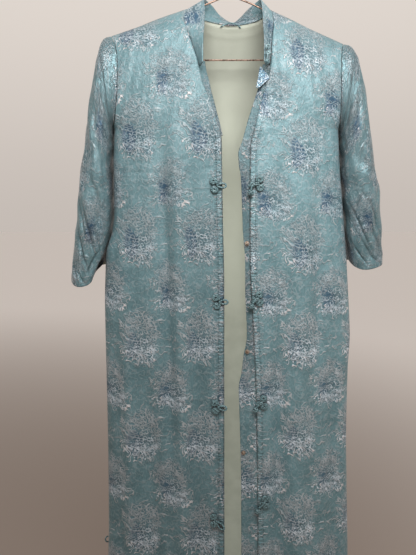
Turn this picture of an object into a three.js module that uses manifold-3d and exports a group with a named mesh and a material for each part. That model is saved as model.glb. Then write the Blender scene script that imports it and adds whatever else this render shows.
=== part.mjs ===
// Full-length brocade hostess coat, open down the front, hung on a wire hanger.
// Millimetres, +Z up, the coat's front faces -Y, the wearer's right side is at -X.
// The origin is the inside top of the hanger's hook, where a rail carries it.

import * as THREE from 'three';
import { mergeVertices } from 'three/addons/utils/BufferGeometryUtils.js';
import Module from 'manifold-3d';

const wasm = await Module();
wasm.setup();

// ---- driving sizes -------------------------------------------------------

const CLOTH = 2.0;              // wall of the lined outer cloth
const LINING = 1.0;             // wall of the lining
const SEAM = 0.5;               // half the gap left between two sewn pieces
const HEM_Z = -1505;            // floor-length hem
const UNDERARM_Z = -328;
const FRONT_EDGE_Z = -315;      // height on the front edge that the underarm row meets
const WIRE_RADIUS = 1.4;
const BAR_Z = -205.3;           // the hanger's lower bar
const CAP_ROWS = 10;            // rows of cloth above the underarm
const BODY_ROWS = 15;           // rows of cloth from the underarm to the hem

// ---- colours -------------------------------------------------------------

const colours = {
  brocade: new THREE.MeshStandardMaterial({ color: 0x86a9b4, roughness: 0.5, side: THREE.DoubleSide }),
  plain: new THREE.MeshStandardMaterial({ color: 0x7ba0a8, roughness: 0.45 }),
  lining: new THREE.MeshStandardMaterial({ color: 0xc9cbb8, roughness: 0.6 }),
  frog: new THREE.MeshStandardMaterial({ color: 0x64868d, roughness: 0.5 }),
  wire: new THREE.MeshStandardMaterial({ color: 0x8a5f4c, roughness: 0.35, metalness: 0.9 }),
  snap: new THREE.MeshStandardMaterial({ color: 0x6b5648, roughness: 0.55, metalness: 0.8 }),
};

const coat = new THREE.Group();

function add(name, geometry, material) {
  const mesh = new THREE.Mesh(geometry, material);
  mesh.name = name;
  coat.add(mesh);
  return mesh;
}

// ---- curves through short tables ----------------------------------------

// A smooth line through a table's rows: `at` is the column that runs, `value` the one wanted.
function along(table, at, value) {
  const rows = [...table].sort((a, b) => a[at] - b[at]);
  const xs = rows.map((row) => row[at]);
  const ys = rows.map((row) => row[value]);
  const slopes = xs.slice(1).map((x, i) => (ys[i + 1] - ys[i]) / (x - xs[i]));
  const tangents = xs.map((_, i) => {
    if (i === 0) return slopes[0];
    if (i === xs.length - 1) return slopes[i - 1];
    const [before, after] = [slopes[i - 1], slopes[i]];
    return before * after <= 0 ? 0 : (2 * before * after) / (before + after);
  });
  return (x) => {
    if (x <= xs[0]) return ys[0];
    if (x >= xs[xs.length - 1]) return ys[ys.length - 1];
    const i = xs.findIndex((next) => next > x) - 1;
    const width = xs[i + 1] - xs[i];
    const t = (x - xs[i]) / width;
    const smooth = t * t * (3 - 2 * t);
    const bend = t * (1 - t) * width;
    return ys[i] + (ys[i + 1] - ys[i]) * smooth
      + bend * ((1 - t) * tangents[i] - t * tangents[i + 1]);
  };
}

const mix = THREE.MathUtils.lerp;

// ---- outline of the coat from the front ----------------------------------

// The shoulder line of each side, from the neck to the sleeve, carried on over the neck.
const shoulderRight = [
  { x: 0, z: -97 }, { x: -43, z: -111 }, { x: -72.5, z: -121.5 }, { x: -119, z: -136.6 },
  { x: -154, z: -149.9 }, { x: -181, z: -159 }, { x: -203.6, z: -166.4 }, { x: -230, z: -176 },
];
const shoulderLeft = [
  { x: 0, z: -97 }, { x: 43, z: -110 }, { x: 72.5, z: -123.4 }, { x: 106.6, z: -138.3 },
  { x: 141.8, z: -154.8 }, { x: 177, z: -169.8 }, { x: 200.1, z: -179.8 }, { x: 230, z: -194 },
];

// The armhole down to the underarm, then the side seam down to the hem.
const sideRight = [
  { z: -166.4, x: -203.6 }, { z: -188, x: -194 }, { z: -213, x: -190 }, { z: -245, x: -190 },
  { z: -278, x: -191.5 }, { z: -310, x: -196.5 }, { z: -328, x: -201 }, { z: -385, x: -204 },
  { z: -471, x: -205 }, { z: -502, x: -208.5 }, { z: -540, x: -220 }, { z: -570, x: -222.5 },
  { z: -650, x: -225.5 }, { z: -853, x: -225.6 }, { z: -1067, x: -228 }, { z: -1141, x: -231 },
  { z: HEM_Z, x: -243 },
];
const sideLeft = [
  { z: -179.8, x: 200.1 }, { z: -190, x: 194.5 }, { z: -213, x: 191.5 }, { z: -245, x: 191 },
  { z: -278, x: 191 }, { z: -310, x: 191.5 }, { z: -328, x: 193.5 }, { z: -385, x: 198 },
  { z: -439, x: 203.5 }, { z: -493, x: 209.5 }, { z: -529, x: 213.5 }, { z: -594, x: 219 },
  { z: -678, x: 225.6 }, { z: -700, x: 226.6 }, { z: -760, x: 224.6 }, { z: -863, x: 225.3 },
  { z: -964, x: 229 }, { z: -1088, x: 234.7 }, { z: HEM_Z, x: 252 },
];

// The neck seam down to the centre front, then the front edge down to the hem.
const edgeRight = [
  { z: -121.5, x: -72.5 }, { z: -139, x: -76 }, { z: -160, x: -72.5 }, { z: -183, x: -65 },
  { z: -205, x: -57.5 }, { z: -217, x: -53 }, { z: -247, x: -47 }, { z: -264, x: -41 },
  { z: -290, x: -29.5 }, { z: -320, x: -19.5 }, { z: -341, x: -13.4 }, { z: -382, x: -12.2 },
  { z: -484, x: -10.4 }, { z: -588, x: -7.8 }, { z: -806, x: -6.8 }, { z: HEM_Z, x: -4 },
];
const edgeLeft = [
  { z: -123.4, x: 72.5 }, { z: -139, x: 75 }, { z: -160, x: 74.6 }, { z: -183, x: 72 },
  { z: -213, x: 70 }, { z: -240, x: 66 }, { z: -262, x: 60 }, { z: -290, x: 52 },
  { z: -316, x: 46 }, { z: -366, x: 35.4 }, { z: -450, x: 35.7 }, { z: -562, x: 37.3 },
  { z: -677, x: 43.8 }, { z: -806, x: 50.4 }, { z: -998, x: 54.6 }, { z: HEM_Z, x: 61 },
];

// Free edges of the strips that lie along the front edges.
const rolledEdge = [
  { z: -205, x: -43 }, { z: -228.5, x: -39.5 }, { z: -247, x: -34.7 }, { z: -266, x: -30.7 },
  { z: -284, x: -26 }, { z: -303, x: -21.2 }, { z: -321.5, x: -16.3 }, { z: -345, x: -10.4 },
];
const underlapEdge = [
  { z: -222, x: 57 }, { z: -259, x: 49.9 }, { z: -285, x: 41.9 }, { z: -318, x: 31.3 },
  { z: -350, x: 22.4 }, { z: -372, x: 15.4 }, { z: -389, x: 16.4 }, { z: -411, x: 20 },
  { z: -432, x: 21.3 }, { z: -501, x: 24.3 }, { z: -557, x: 28.8 },
  { z: -607, x: 29.4 }, { z: -688, x: 32.9 }, { z: -724, x: 27.5 }, { z: -756, x: 23.8 },
  { z: -782, x: 19.1 }, { z: -827, x: 20.7 }, { z: -961, x: 24.7 }, { z: -1111, x: 26.2 },
  { z: HEM_Z, x: 31 },
];

// ---- depth of the hanging coat ------------------------------------------

// How far the front and the back stand from the hanger's plane at their fullest.
const fullness = [
  { z: -97, front: 30, back: 27 }, { z: -180, front: 33, back: 30 },
  { z: -250, front: 41, back: 34 }, { z: -341, front: 47, back: 36 },
  { z: -600, front: 47, back: 35 }, { z: -1110, front: 51, back: 40 },
  { z: HEM_Z, front: 55, back: 46 },
];

// Where a section would close at its side: the side seam itself below the underarm, and
// a wider line beside the armhole, so that the armhole stays open.
const closing = [
  { z: -120, beyond: 46 }, { z: -245, beyond: 45 }, { z: -278, beyond: 37 },
  { z: -300, beyond: 24 }, { z: -315, beyond: 11 }, { z: UNDERARM_Z, beyond: 0 },
  { z: HEM_Z, beyond: 0 },
];

const SHOULDER_GAP = 1.4;       // a panel's distance from the hanger's plane at its seams
const SHOULDER_ROUND = 20;      // how soon the cloth falls away below the shoulder line
const SIDE_ROUND = 2.6;         // squareness of a section where it turns at the side

const shoulderZ = {
  right: along(shoulderRight, 'x', 'z'),
  left: along(shoulderLeft, 'x', 'z'),
};
const sideX = { right: along(sideRight, 'z', 'x'), left: along(sideLeft, 'z', 'x') };
const edgeX = { right: along(edgeRight, 'z', 'x'), left: along(edgeLeft, 'z', 'x') };
const tipZ = { right: -166.4, left: -179.8 };
const beyond = along(closing, 'z', 'beyond');
const depthOf = { front: along(fullness, 'z', 'front'), back: along(fullness, 'z', 'back') };

// The long soft folds: troughs (positive depth) and ridges (negative depth) that follow a
// line from (x, top) to (lowX, bottom).
const folds = {
  front: [
    { x: -118, lowX: -96, top: -300, bottom: -1000, width: 13, depth: 6 },
    { x: -140, lowX: -125, top: -760, bottom: -1600, width: 14, depth: 5 },
    { x: -60, lowX: -52, top: -520, bottom: -1600, width: 16, depth: 5 },
    { x: -185, lowX: -178, top: -560, bottom: -1600, width: 13, depth: -5 },
    { x: -95, lowX: -78, top: -300, bottom: -1400, width: 16, depth: -4 },
    { x: 76, lowX: 80, top: -190, bottom: -300, width: 7, depth: -5 },
    { x: 92, lowX: 98, top: -620, bottom: -1600, width: 12, depth: 6 },
    { x: 158, lowX: 168, top: -430, bottom: -820, width: 13, depth: 6 },
    { x: 188, lowX: 214, top: -620, bottom: -1600, width: 14, depth: 6 },
    { x: 126, lowX: 132, top: -350, bottom: -1500, width: 17, depth: -4 },
  ],
  back: [
    { x: -88, lowX: -104, top: -420, bottom: -1600, width: 17, depth: 8 },
    { x: 8, lowX: 2, top: -520, bottom: -1600, width: 19, depth: -6 },
    { x: 84, lowX: 112, top: -380, bottom: -1600, width: 16, depth: 8 },
    { x: -160, lowX: -178, top: -620, bottom: -1600, width: 15, depth: -6 },
    { x: 156, lowX: 182, top: -560, bottom: -1600, width: 15, depth: -6 },
  ],
};

function foldDepth(list, x, z) {
  let sum = 0;
  for (const fold of list) {
    const length = fold.top - fold.bottom;
    const down = (fold.top - z) / length;
    if (down <= 0 || down >= 1) continue;
    const fade = Math.min(1, down * length / 140, (1 - down) * length / 140);
    const reach = (x - mix(fold.x, fold.lowX, down)) / fold.width;
    sum += fold.depth * fade * Math.exp(-reach * reach);
  }
  return sum;
}

// Distance of the cloth from the hanger's plane, at a place seen from the front, as if the
// cloth hung without folds and then with them.
function plainStandOff(face, x, z, fold = 0) {
  const hand = x < 0 ? 'right' : 'left';
  const fall = Math.max(0, shoulderZ[hand](x) - z);
  const half = Math.abs(sideX[hand](z)) + beyond(z);
  const across = Math.min(1, Math.abs(x) / half);
  const round = (1 - across ** SIDE_ROUND) ** (1 / SIDE_ROUND);
  const rise = 1 - Math.exp(-fall / SHOULDER_ROUND);
  return SHOULDER_GAP + (depthOf[face](z) - fold * Math.min(1, round * 1.6)) * rise * round;
}

const standOff = (face, x, z) => plainStandOff(face, x, z, foldDepth(folds[face], x, z));

const frontY = (x, z) => -standOff('front', x, z);
const backY = (x, z) => standOff('back', x, z);

// ---- walls of cloth ------------------------------------------------------

// A closed wall of even thickness on a grid of points; `round` joins its first and last column.
function wall(points, thickness, round = false) {
  const rows = points.length;
  const columns = points[0].length;
  const at = (i, j) => {
    const row = Math.min(rows - 1, Math.max(0, i));
    const column = round ? (j + columns) % columns : Math.min(columns - 1, Math.max(0, j));
    return points[row][column];
  };
  const positions = [];
  for (const side of [0.5, -0.5]) {
    for (let i = 0; i < rows; i += 1) {
      for (let j = 0; j < columns; j += 1) {
        const down = at(i + 1, j).clone().sub(at(i - 1, j));
        const across = at(i, j + 1).clone().sub(at(i, j - 1));
        const normal = across.cross(down).normalize();
        const point = at(i, j).clone().addScaledVector(normal, thickness * side);
        positions.push(point.x, point.y, point.z);
      }
    }
  }
  const index = [];
  const quad = (a, b, c, d) => index.push(a, b, c, a, c, d);
  const outer = (i, j) => i * columns + (j % columns);
  const inner = (i, j) => rows * columns + i * columns + (j % columns);
  const steps = round ? columns : columns - 1;
  for (let i = 0; i < rows - 1; i += 1) {
    for (let j = 0; j < steps; j += 1) {
      quad(outer(i, j), outer(i + 1, j), outer(i + 1, j + 1), outer(i, j + 1));
      quad(inner(i, j), inner(i, j + 1), inner(i + 1, j + 1), inner(i + 1, j));
    }
  }
  for (let j = 0; j < steps; j += 1) {
    quad(outer(0, j), outer(0, j + 1), inner(0, j + 1), inner(0, j));
    const last = rows - 1;
    quad(outer(last, j), inner(last, j), inner(last, j + 1), outer(last, j + 1));
  }
  for (let i = 0; i < rows - 1 && !round; i += 1) {
    const last = columns - 1;
    quad(outer(i, 0), inner(i, 0), inner(i + 1, 0), outer(i + 1, 0));
    quad(outer(i, last), outer(i + 1, last), inner(i + 1, last), inner(i, last));
  }
  return closedGeometry(positions, index);
}

// A geometry of the given triangles, turned so that its faces point out.
function closedGeometry(positions, index) {
  const corner = (k) => new THREE.Vector3().fromArray(positions, index[k] * 3);
  let volume = 0;
  for (let k = 0; k < index.length; k += 3) {
    volume += corner(k).dot(corner(k + 1).cross(corner(k + 2)));
  }
  if (volume < 0) index.reverse();
  const geometry = new THREE.BufferGeometry();
  geometry.setAttribute('position', new THREE.Float32BufferAttribute(positions, 3));
  geometry.setIndex(index);
  geometry.computeVertexNormals();
  return geometry;
}

// Heights of a row of cloth at its inner and its outer end.
function rowHeights(row, hand, innerTop) {
  if (row <= CAP_ROWS) {
    const t = (row / CAP_ROWS) ** 1.2;
    return { inner: mix(innerTop, FRONT_EDGE_Z, t), outer: mix(tipZ[hand], UNDERARM_Z, t) };
  }
  const t = ((row - CAP_ROWS) / BODY_ROWS) ** 1.15;
  return { inner: mix(FRONT_EDGE_Z, HEM_Z, t), outer: mix(UNDERARM_Z, HEM_Z, t) };
}

const crowd = (t) => 1 - (1 - t) ** 1.7;     // columns crowd towards the side

// ---- fronts --------------------------------------------------------------

const FRONT_COLUMNS = 19;

function front(hand) {
  const top = hand === 'right' ? edgeRight[0].z : edgeLeft[0].z;
  const points = [];
  for (let row = 0; row <= CAP_ROWS + BODY_ROWS; row += 1) {
    const height = rowHeights(row, hand, top);
    const line = [];
    for (let column = 0; column <= FRONT_COLUMNS; column += 1) {
      const t = crowd(column / FRONT_COLUMNS);
      const x = mix(edgeX[hand](height.inner), sideX[hand](height.outer), t);
      const straight = mix(height.inner, height.outer, t);
      const onSeam = row === 0 ? shoulderZ[hand](x) - 0.1 : straight;
      line.push(new THREE.Vector3(x, frontY(x, onSeam), onSeam));
    }
    points.push(line);
  }
  return wall(points, CLOTH);
}

const panels = {
  right: add('front_right', front('right'), colours.brocade),
  left: add('front_left', front('left'), colours.brocade),
};

// ---- back and its lining -------------------------------------------------

const BACK_NECK = [
  { x: -72.5, z: -121.5 }, { x: -57, z: -127.5 }, { x: -40, z: -131.5 }, { x: -22, z: -135.2 },
  { x: 5, z: -138.6 }, { x: 28, z: -137.2 }, { x: 45, z: -134.2 }, { x: 60, z: -129.8 },
  { x: 72.5, z: -123.4 },
];
const neckZ = along(BACK_NECK, 'x', 'z');

function backTop(x) {
  if (x > -72.5 && x < 72.5) return neckZ(x);
  return shoulderZ[x < 0 ? 'right' : 'left'](x);
}

const BACK_COLUMNS = 25;
const SIDE_TURN = 0.12;         // how strongly the back's columns crowd towards its sides

function back() {
  const points = [];
  for (let row = 0; row <= CAP_ROWS + BODY_ROWS; row += 1) {
    const right = rowHeights(row, 'right', 0).outer;
    const left = rowHeights(row, 'left', 0).outer;
    const fade = Math.max(0, 1 - row / CAP_ROWS) ** 1.5;
    const line = [];
    for (let column = 0; column <= BACK_COLUMNS; column += 1) {
      const turn = Math.PI * mix(SIDE_TURN, 1 - SIDE_TURN, column / BACK_COLUMNS);
      const share = 0.5 - (0.5 * Math.cos(turn)) / Math.cos(Math.PI * SIDE_TURN);
      const xTop = mix(sideX.right(tipZ.right), sideX.left(tipZ.left), share);
      const rise = backTop(xTop) - mix(tipZ.right, tipZ.left, share);
      const z = mix(right, left, share) + rise * fade;
      const x = mix(sideX.right(right), sideX.left(left), share);
      line.push(new THREE.Vector3(x, backY(x, z), z));
    }
    points.push(line);
  }
  return wall(points, CLOTH);
}

add('back', back(), colours.brocade);

// The lining hangs inside the back from the neck seam, clear of the sides.
const liningInset = along([
  { z: -118, inset: 5.5 }, { z: -170, inset: 4 }, { z: -300, inset: 3.6 },
  { z: -560, inset: 11 }, { z: HEM_Z, inset: 13 },
], 'z', 'inset');
const liningY = (x, z) => plainStandOff('back', x, z) - liningInset(z);
const LINING_NECK = 60;         // half width of the lining's neck edge
const LINING_DROP = 4;          // the lining's top edge below the neck seam
const LINING_LIFT = 18;         // the lining ends above the hem

function liningBack() {
  const rows = 13;
  const columns = 12;
  const points = [];
  for (let row = 0; row <= rows; row += 1) {
    const t = (row / rows) ** 1.2;
    const line = [];
    for (let column = 0; column <= columns; column += 1) {
      const c = 2 * (column / columns) - 1;
      const topX = LINING_NECK * c + 1;
      const topZ = neckZ(topX) - LINING_DROP;
      const z = mix(topZ, HEM_Z + LINING_LIFT, t);
      const spread = along([
        { z: -118, x: LINING_NECK }, { z: -190, x: 118 }, { z: -260, x: 150 }, { z: -330, x: 168 },
        { z: -560, x: 186 }, { z: HEM_Z, x: 206 },
      ], 'z', 'x')(z);
      const x = mix(LINING_NECK, spread, Math.min(1, t * 9)) * c + 1;
      line.push(new THREE.Vector3(x, liningY(x, z), z));
    }
    points.push(line);
  }
  return wall(points, LINING);
}

add('lining_back', liningBack(), colours.lining);

// ---- sleeves -------------------------------------------------------------

// Each row is one section of a sleeve: its outer and inner line, how far it stands to the
// front and to the back, and how much lower the front and the back lie than those lines.
const sleeveRight = [
  { outerX: -215.5, outerZ: -171.5, innerX: -203.4, innerZ: -330, front: 31, back: 27, drop: 0, backDrop: 0 },
  { outerX: -223, outerZ: -186, innerX: -203.8, innerZ: -334, front: 35, back: 31, drop: 0, backDrop: 0 },
  { outerX: -227.8, outerZ: -208, innerX: -204.3, innerZ: -340, front: 38, back: 34, drop: 0, backDrop: 0 },
  { outerX: -234.5, outerZ: -248, innerX: -205, innerZ: -351, front: 42, back: 38, drop: 0, backDrop: 0 },
  { outerX: -243, outerZ: -290, innerX: -206, innerZ: -368, front: 44, back: 41, drop: 0, backDrop: 0 },
  { outerX: -251, outerZ: -337, innerX: -207, innerZ: -392, front: 45, back: 43, drop: 2, backDrop: 0 },
  { outerX: -259, outerZ: -386, innerX: -207.4, innerZ: -420, front: 46, back: 44, drop: 2, backDrop: 0 },
  { outerX: -265.6, outerZ: -430, innerX: -207.8, innerZ: -445, front: 46, back: 44, drop: 3, backDrop: 0 },
  { outerX: -270.5, outerZ: -471, innerX: -210, innerZ: -475, front: 46, back: 44, drop: 6, backDrop: 0 },
  { outerX: -275, outerZ: -506, innerX: -214.5, innerZ: -500, front: 46, back: 44, drop: 11, backDrop: 1 },
  { outerX: -278.6, outerZ: -536, innerX: -219, innerZ: -522, front: 45, back: 43, drop: 18, backDrop: 2 },
  { outerX: -281.5, outerZ: -560, innerX: -223.5, innerZ: -542, front: 44, back: 42, drop: 24, backDrop: 3 },
  { outerX: -283.5, outerZ: -581, innerX: -228, innerZ: -560, front: 43, back: 41, drop: 30, backDrop: 4 },
];
const sleeveLeft = [
  { outerX: 211, outerZ: -184, innerX: 196, innerZ: -330, front: 31, back: 27, drop: 0, backDrop: 0 },
  { outerX: 219.5, outerZ: -197, innerX: 196.8, innerZ: -334, front: 35, back: 31, drop: 0, backDrop: 0 },
  { outerX: 226, outerZ: -216, innerX: 197.8, innerZ: -340, front: 38, back: 34, drop: 0, backDrop: 0 },
  { outerX: 234, outerZ: -248, innerX: 199, innerZ: -351, front: 42, back: 38, drop: 0, backDrop: 0 },
  { outerX: 242, outerZ: -290, innerX: 200.6, innerZ: -368, front: 44, back: 41, drop: 0, backDrop: 0 },
  { outerX: 249.5, outerZ: -337, innerX: 202.4, innerZ: -390, front: 45, back: 43, drop: 2, backDrop: 0 },
  { outerX: 257.5, outerZ: -385, innerX: 204.8, innerZ: -416, front: 46, back: 44, drop: 2, backDrop: 0 },
  { outerX: 266, outerZ: -421, innerX: 207.4, innerZ: -440, front: 46, back: 44, drop: 3, backDrop: 0 },
  { outerX: 271.5, outerZ: -456, innerX: 210, innerZ: -466, front: 46, back: 44, drop: 3, backDrop: 0 },
  { outerX: 274.5, outerZ: -492, innerX: 212.5, innerZ: -490, front: 46, back: 44, drop: 4, backDrop: 0 },
  { outerX: 276, outerZ: -520, innerX: 215, innerZ: -514, front: 45, back: 43, drop: 7, backDrop: 0 },
  { outerX: 277.5, outerZ: -542, innerX: 218.5, innerZ: -536, front: 44, back: 42, drop: 9, backDrop: 1 },
  { outerX: 278.8, outerZ: -560, innerX: 223, innerZ: -556, front: 43, back: 41, drop: 11, backDrop: 2 },
];

// Slanted folds at the elbow: `turn` is the place round the sleeve, 0 outside, a quarter in front.
const sleeveFolds = [
  { turn: 0.20, section: 9.2, slant: 9, width: 0.8, depth: 3.5 },
  { turn: 0.24, section: 10.8, slant: 8, width: 0.7, depth: 3 },
  { turn: 0.72, section: 9.6, slant: -9, width: 0.8, depth: 3.5 },
];

const SLEEVE_COLUMNS = 28;
const SLEEVE_SQUARE = 2.3;
// How far the low point of each cuff's front leans towards the coat's side.
const CUFF_LEAN = { right: 0.2, left: 0.8 };
const signedPower = (value, power) => Math.sign(value) * Math.abs(value) ** power;

function sleeve(hand, sections) {
  const outward = hand === 'right' ? -1 : 1;
  const points = [];
  const armhole = [];
  const middle = (tipZ[hand] + UNDERARM_Z) / 2;
  const half = (tipZ[hand] - UNDERARM_Z) / 2;
  for (let column = 0; column < SLEEVE_COLUMNS; column += 1) {
    const turn = (2 * Math.PI * column) / SLEEVE_COLUMNS;
    const z = middle + half * Math.cos(turn);
    const x = sideX[hand](z);
    const stand = Math.abs(Math.sin(turn)) < 1e-6 ? 0 : Math.sign(Math.sin(turn));
    const y = stand > 0 ? frontY(x, z) : stand < 0 ? backY(x, z) : 0;
    const low = Math.max(0, -Math.cos(turn)) ** 3;
    armhole.push(new THREE.Vector3(x + outward * (2 * SEAM + 1.6 * low), y, z + 1.5 * low));
  }
  points.push(armhole);
  sections.forEach((section, number) => {
    const ring = [];
    for (let column = 0; column < SLEEVE_COLUMNS; column += 1) {
      const share = column / SLEEVE_COLUMNS;
      const turn = 2 * Math.PI * share;
      const cosine = signedPower(Math.cos(turn), 2 / SLEEVE_SQUARE);
      const sine = signedPower(Math.sin(turn), 2 / SLEEVE_SQUARE);
      let squeeze = 0;
      for (const fold of sleeveFolds) {
        const off = number - fold.section - fold.slant * (share - fold.turn);
        const near = Math.exp(-((off / fold.width) ** 2));
        squeeze += fold.depth * near * Math.exp(-(((share - fold.turn) / 0.13) ** 2));
      }
      const depth = sine > 0 ? section.front : section.back;
      const x = mix(section.innerX, section.outerX, (1 + cosine) / 2);
      const lean = 1 - CUFF_LEAN[hand] * cosine;
      const lower = sine > 0 ? section.drop * sine * lean : -section.backDrop * sine;
      const z = mix(section.innerZ, section.outerZ, (1 + cosine) / 2) - lower;
      ring.push(new THREE.Vector3(x, -(depth - squeeze) * sine, z));
    }
    points.push(ring);
  });
  return wall(points, CLOTH, true);
}

add('sleeve_right', sleeve('right', sleeveRight), colours.brocade);
add('sleeve_left', sleeve('left', sleeveLeft), colours.brocade);

// ---- stand collar --------------------------------------------------------

// Stations from the wearer's right end round the back to the left end: the seam's place seen
// from the front, the free edge, and the face of the coat that the seam lies on.
const collarStations = [
  { x: -49.3, z: -227, edgeX: -44.8, edgeY: -58.5, edgeZ: -227, face: 'front' },
  { x: -63, z: -183, edgeX: -44, edgeY: -49, edgeZ: -187, face: 'front' },
  { x: -70.6, z: -159, edgeX: -42, edgeY: -33, edgeZ: -157, face: 'front' },
  { x: -73.8, z: -139, edgeX: -41.5, edgeY: -19, edgeZ: -130, face: 'front' },
  { x: -70.5, z: -121, edgeX: -42, edgeY: -2, edgeZ: -105.5, face: 'seam' },
  { x: -57, z: -125.6, edgeX: -37, edgeY: 13, edgeZ: -102.5, face: 'back' },
  { x: -40, z: -129.7, edgeX: -28, edgeY: 27, edgeZ: -105, face: 'back' },
  { x: -22, z: -133.4, edgeX: -14, edgeY: 37, edgeZ: -117, face: 'back' },
  { x: 5, z: -136.8, edgeX: 8, edgeY: 45, edgeZ: -126, face: 'back' },
  { x: 28, z: -135.4, edgeX: 22, edgeY: 38, edgeZ: -120.5, face: 'back' },
  { x: 45, z: -132.4, edgeX: 36, edgeY: 26, edgeZ: -110, face: 'back' },
  { x: 59.5, z: -127.8, edgeX: 50, edgeY: 12, edgeZ: -103.5, face: 'back' },
  { x: 70.5, z: -122, edgeX: 55, edgeY: -2, edgeZ: -106, face: 'seam' },
  { x: 72.6, z: -140, edgeX: 56, edgeY: -21, edgeZ: -128, face: 'front' },
  { x: 72.3, z: -160, edgeX: 56, edgeY: -35, edgeZ: -155, face: 'front' },
  { x: 70, z: -183, edgeX: 57, edgeY: -47, edgeZ: -185, face: 'front' },
  { x: 66.6, z: -224, edgeX: 56.6, edgeY: -56, edgeZ: -226, face: 'front' },
];

const COLLAR_COLUMNS = 38;
const COLLAR_ROWS = 2;

function collar() {
  const onFace = { front: frontY, back: backY, seam: () => 0 };
  const seam = new THREE.CatmullRomCurve3(collarStations.map((station) => (
    new THREE.Vector3(station.x, onFace[station.face](station.x, station.z), station.z)
  )));
  const edge = new THREE.CatmullRomCurve3(collarStations.map((station) => (
    new THREE.Vector3(station.edgeX, station.edgeY, station.edgeZ)
  )));
  const points = [];
  for (let row = 0; row <= COLLAR_ROWS; row += 1) {
    const line = [];
    for (let column = 0; column <= COLLAR_COLUMNS; column += 1) {
      const t = column / COLLAR_COLUMNS;
      line.push(seam.getPoint(t).lerp(edge.getPoint(t), mix(0.04, 1, row / COLLAR_ROWS)));
    }
    points.push(line);
  }
  return wall(points, 1.8);
}

const collarPiece = add('collar', collar(), colours.brocade);

// ---- strips on the front edges ------------------------------------------

const STRIP_GAP = 0.8;          // from a front's edge to the strip beside it

// A strip beside a front's edge: it starts at the seam and ends at its own free edge, which
// lies further in by `tuck`.
function strip(hand, freeEdge, top, bottom, rows, columns, tuck) {
  const free = along(freeEdge, 'z', 'x');
  const inside = hand === 'right' ? 1 : -1;
  const points = [];
  for (let row = 0; row <= rows; row += 1) {
    const z = mix(top, bottom, row / rows);
    const from = edgeX[hand](z) + inside * STRIP_GAP;
    const base = frontY(edgeX[hand](z), z);
    const line = [];
    for (let column = 0; column <= columns; column += 1) {
      const t = column / columns;
      line.push(new THREE.Vector3(mix(from, free(z), t), base + tuck(z) * t + 1.4, z));
    }
    points.push(line);
  }
  return wall(points, 1.6);
}

const rollTuck = (z) => mix(13, 2, THREE.MathUtils.clamp((z + 215) / -125, 0, 1));
const underlapTuck = (z) => mix(7, 1.5, THREE.MathUtils.clamp((z + 255) / -130, 0, 1));

add('facing_right', strip('right', rolledEdge, -231, -338, 10, 2, rollTuck), colours.plain);
add('underlap_left', strip('left', underlapEdge, -229, HEM_Z, 27, 2, underlapTuck), colours.brocade);

// The underlap's top corner is turned over to the front.
function turnedCorner() {
  const lie = frontY(68, -248) - CLOTH / 2 - 1.05;
  const top = new THREE.Vector3(51, lie + 1, -229);
  const point = new THREE.Vector3(68, lie, -248);
  const low = new THREE.Vector3(44.5, lie + 1, -264);
  const rows = 4;
  const points = [];
  for (let row = 0; row <= rows; row += 1) {
    const line = [];
    for (let column = 0; column <= rows; column += 1) {
      const t = row / rows;
      const near = top.clone().lerp(low, t);
      const width = 1 - Math.abs(2 * t - 1.08) / 1.08;
      const reach = point.clone().sub(top.clone().lerp(low, 0.54)).multiplyScalar(0.06 + 0.94 * width);
      line.push(near.addScaledVector(reach, column / rows));
    }
    points.push(line);
  }
  return wall(points, 1.4);
}

add('underlap_corner', turnedCorner(), colours.plain);

// ---- frog fastenings -----------------------------------------------------

const caster = new THREE.Raycaster();
coat.updateMatrixWorld(true);

function firstHit(targets, x, z) {
  caster.set(new THREE.Vector3(x, -400, z), new THREE.Vector3(0, 1, 0));
  return caster.intersectObjects(targets)[0];
}

// The front surface of the collar, of a panel, or of the panel just inside its front edge.
function surfaceY(hand, x, z) {
  const inside = hand === 'right' ? -1 : 1;
  const edge = edgeX[hand](z) + inside * 1.2;
  const xIn = hand === 'right' ? Math.min(x, edge) : Math.max(x, edge);
  const hit = firstHit([collarPiece], x, z) ?? firstHit([panels[hand]], xIn, z);
  return hit ? hit.point.y : frontY(xIn, z) - CLOTH / 2;
}

const COIL = 7.2;               // outer radius of one coil of cord
const FROG_THICK = 4.2;
const KNOT = 5.2;               // radius of the ball knot

// Manifold solid of a closed three.js geometry.
function solid(geometry) {
  const bare = geometry.clone();
  bare.deleteAttribute('normal');
  bare.deleteAttribute('uv');
  const merged = mergeVertices(bare, 1e-4);
  return new wasm.Manifold(new wasm.Mesh({
    numProp: 3,
    vertProperties: merged.attributes.position.array,
    triVerts: new Uint32Array(merged.index.array),
  }));
}

function fromSolid(manifold) {
  const mesh = manifold.getMesh();
  return closedGeometry(Array.from(mesh.vertProperties), Array.from(mesh.triVerts));
}

// One coil, a low drum with a chamfered face, centred in the frog's own plane.
function coil(x, z, radius) {
  const profile = [
    new THREE.Vector2(0, 0), new THREE.Vector2(radius, 0),
    new THREE.Vector2(radius * 0.8, FROG_THICK), new THREE.Vector2(0, FROG_THICK * 0.8),
  ];
  const drum = new THREE.LatheGeometry(profile, 10);
  drum.rotateX(Math.PI);
  drum.translate(x, 0, z);
  return drum;
}

// A flat bar of cord from one coil to a knot.
function stem(from, to, width) {
  const length = Math.hypot(to.x - from.x, to.z - from.z);
  const bar = new THREE.BoxGeometry(length, FROG_THICK * 0.8, width);
  bar.rotateY(-Math.atan2(to.z - from.z, to.x - from.x));
  bar.translate((from.x + to.x) / 2, -FROG_THICK * 0.4, (from.z + to.z) / 2);
  return bar;
}

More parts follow.
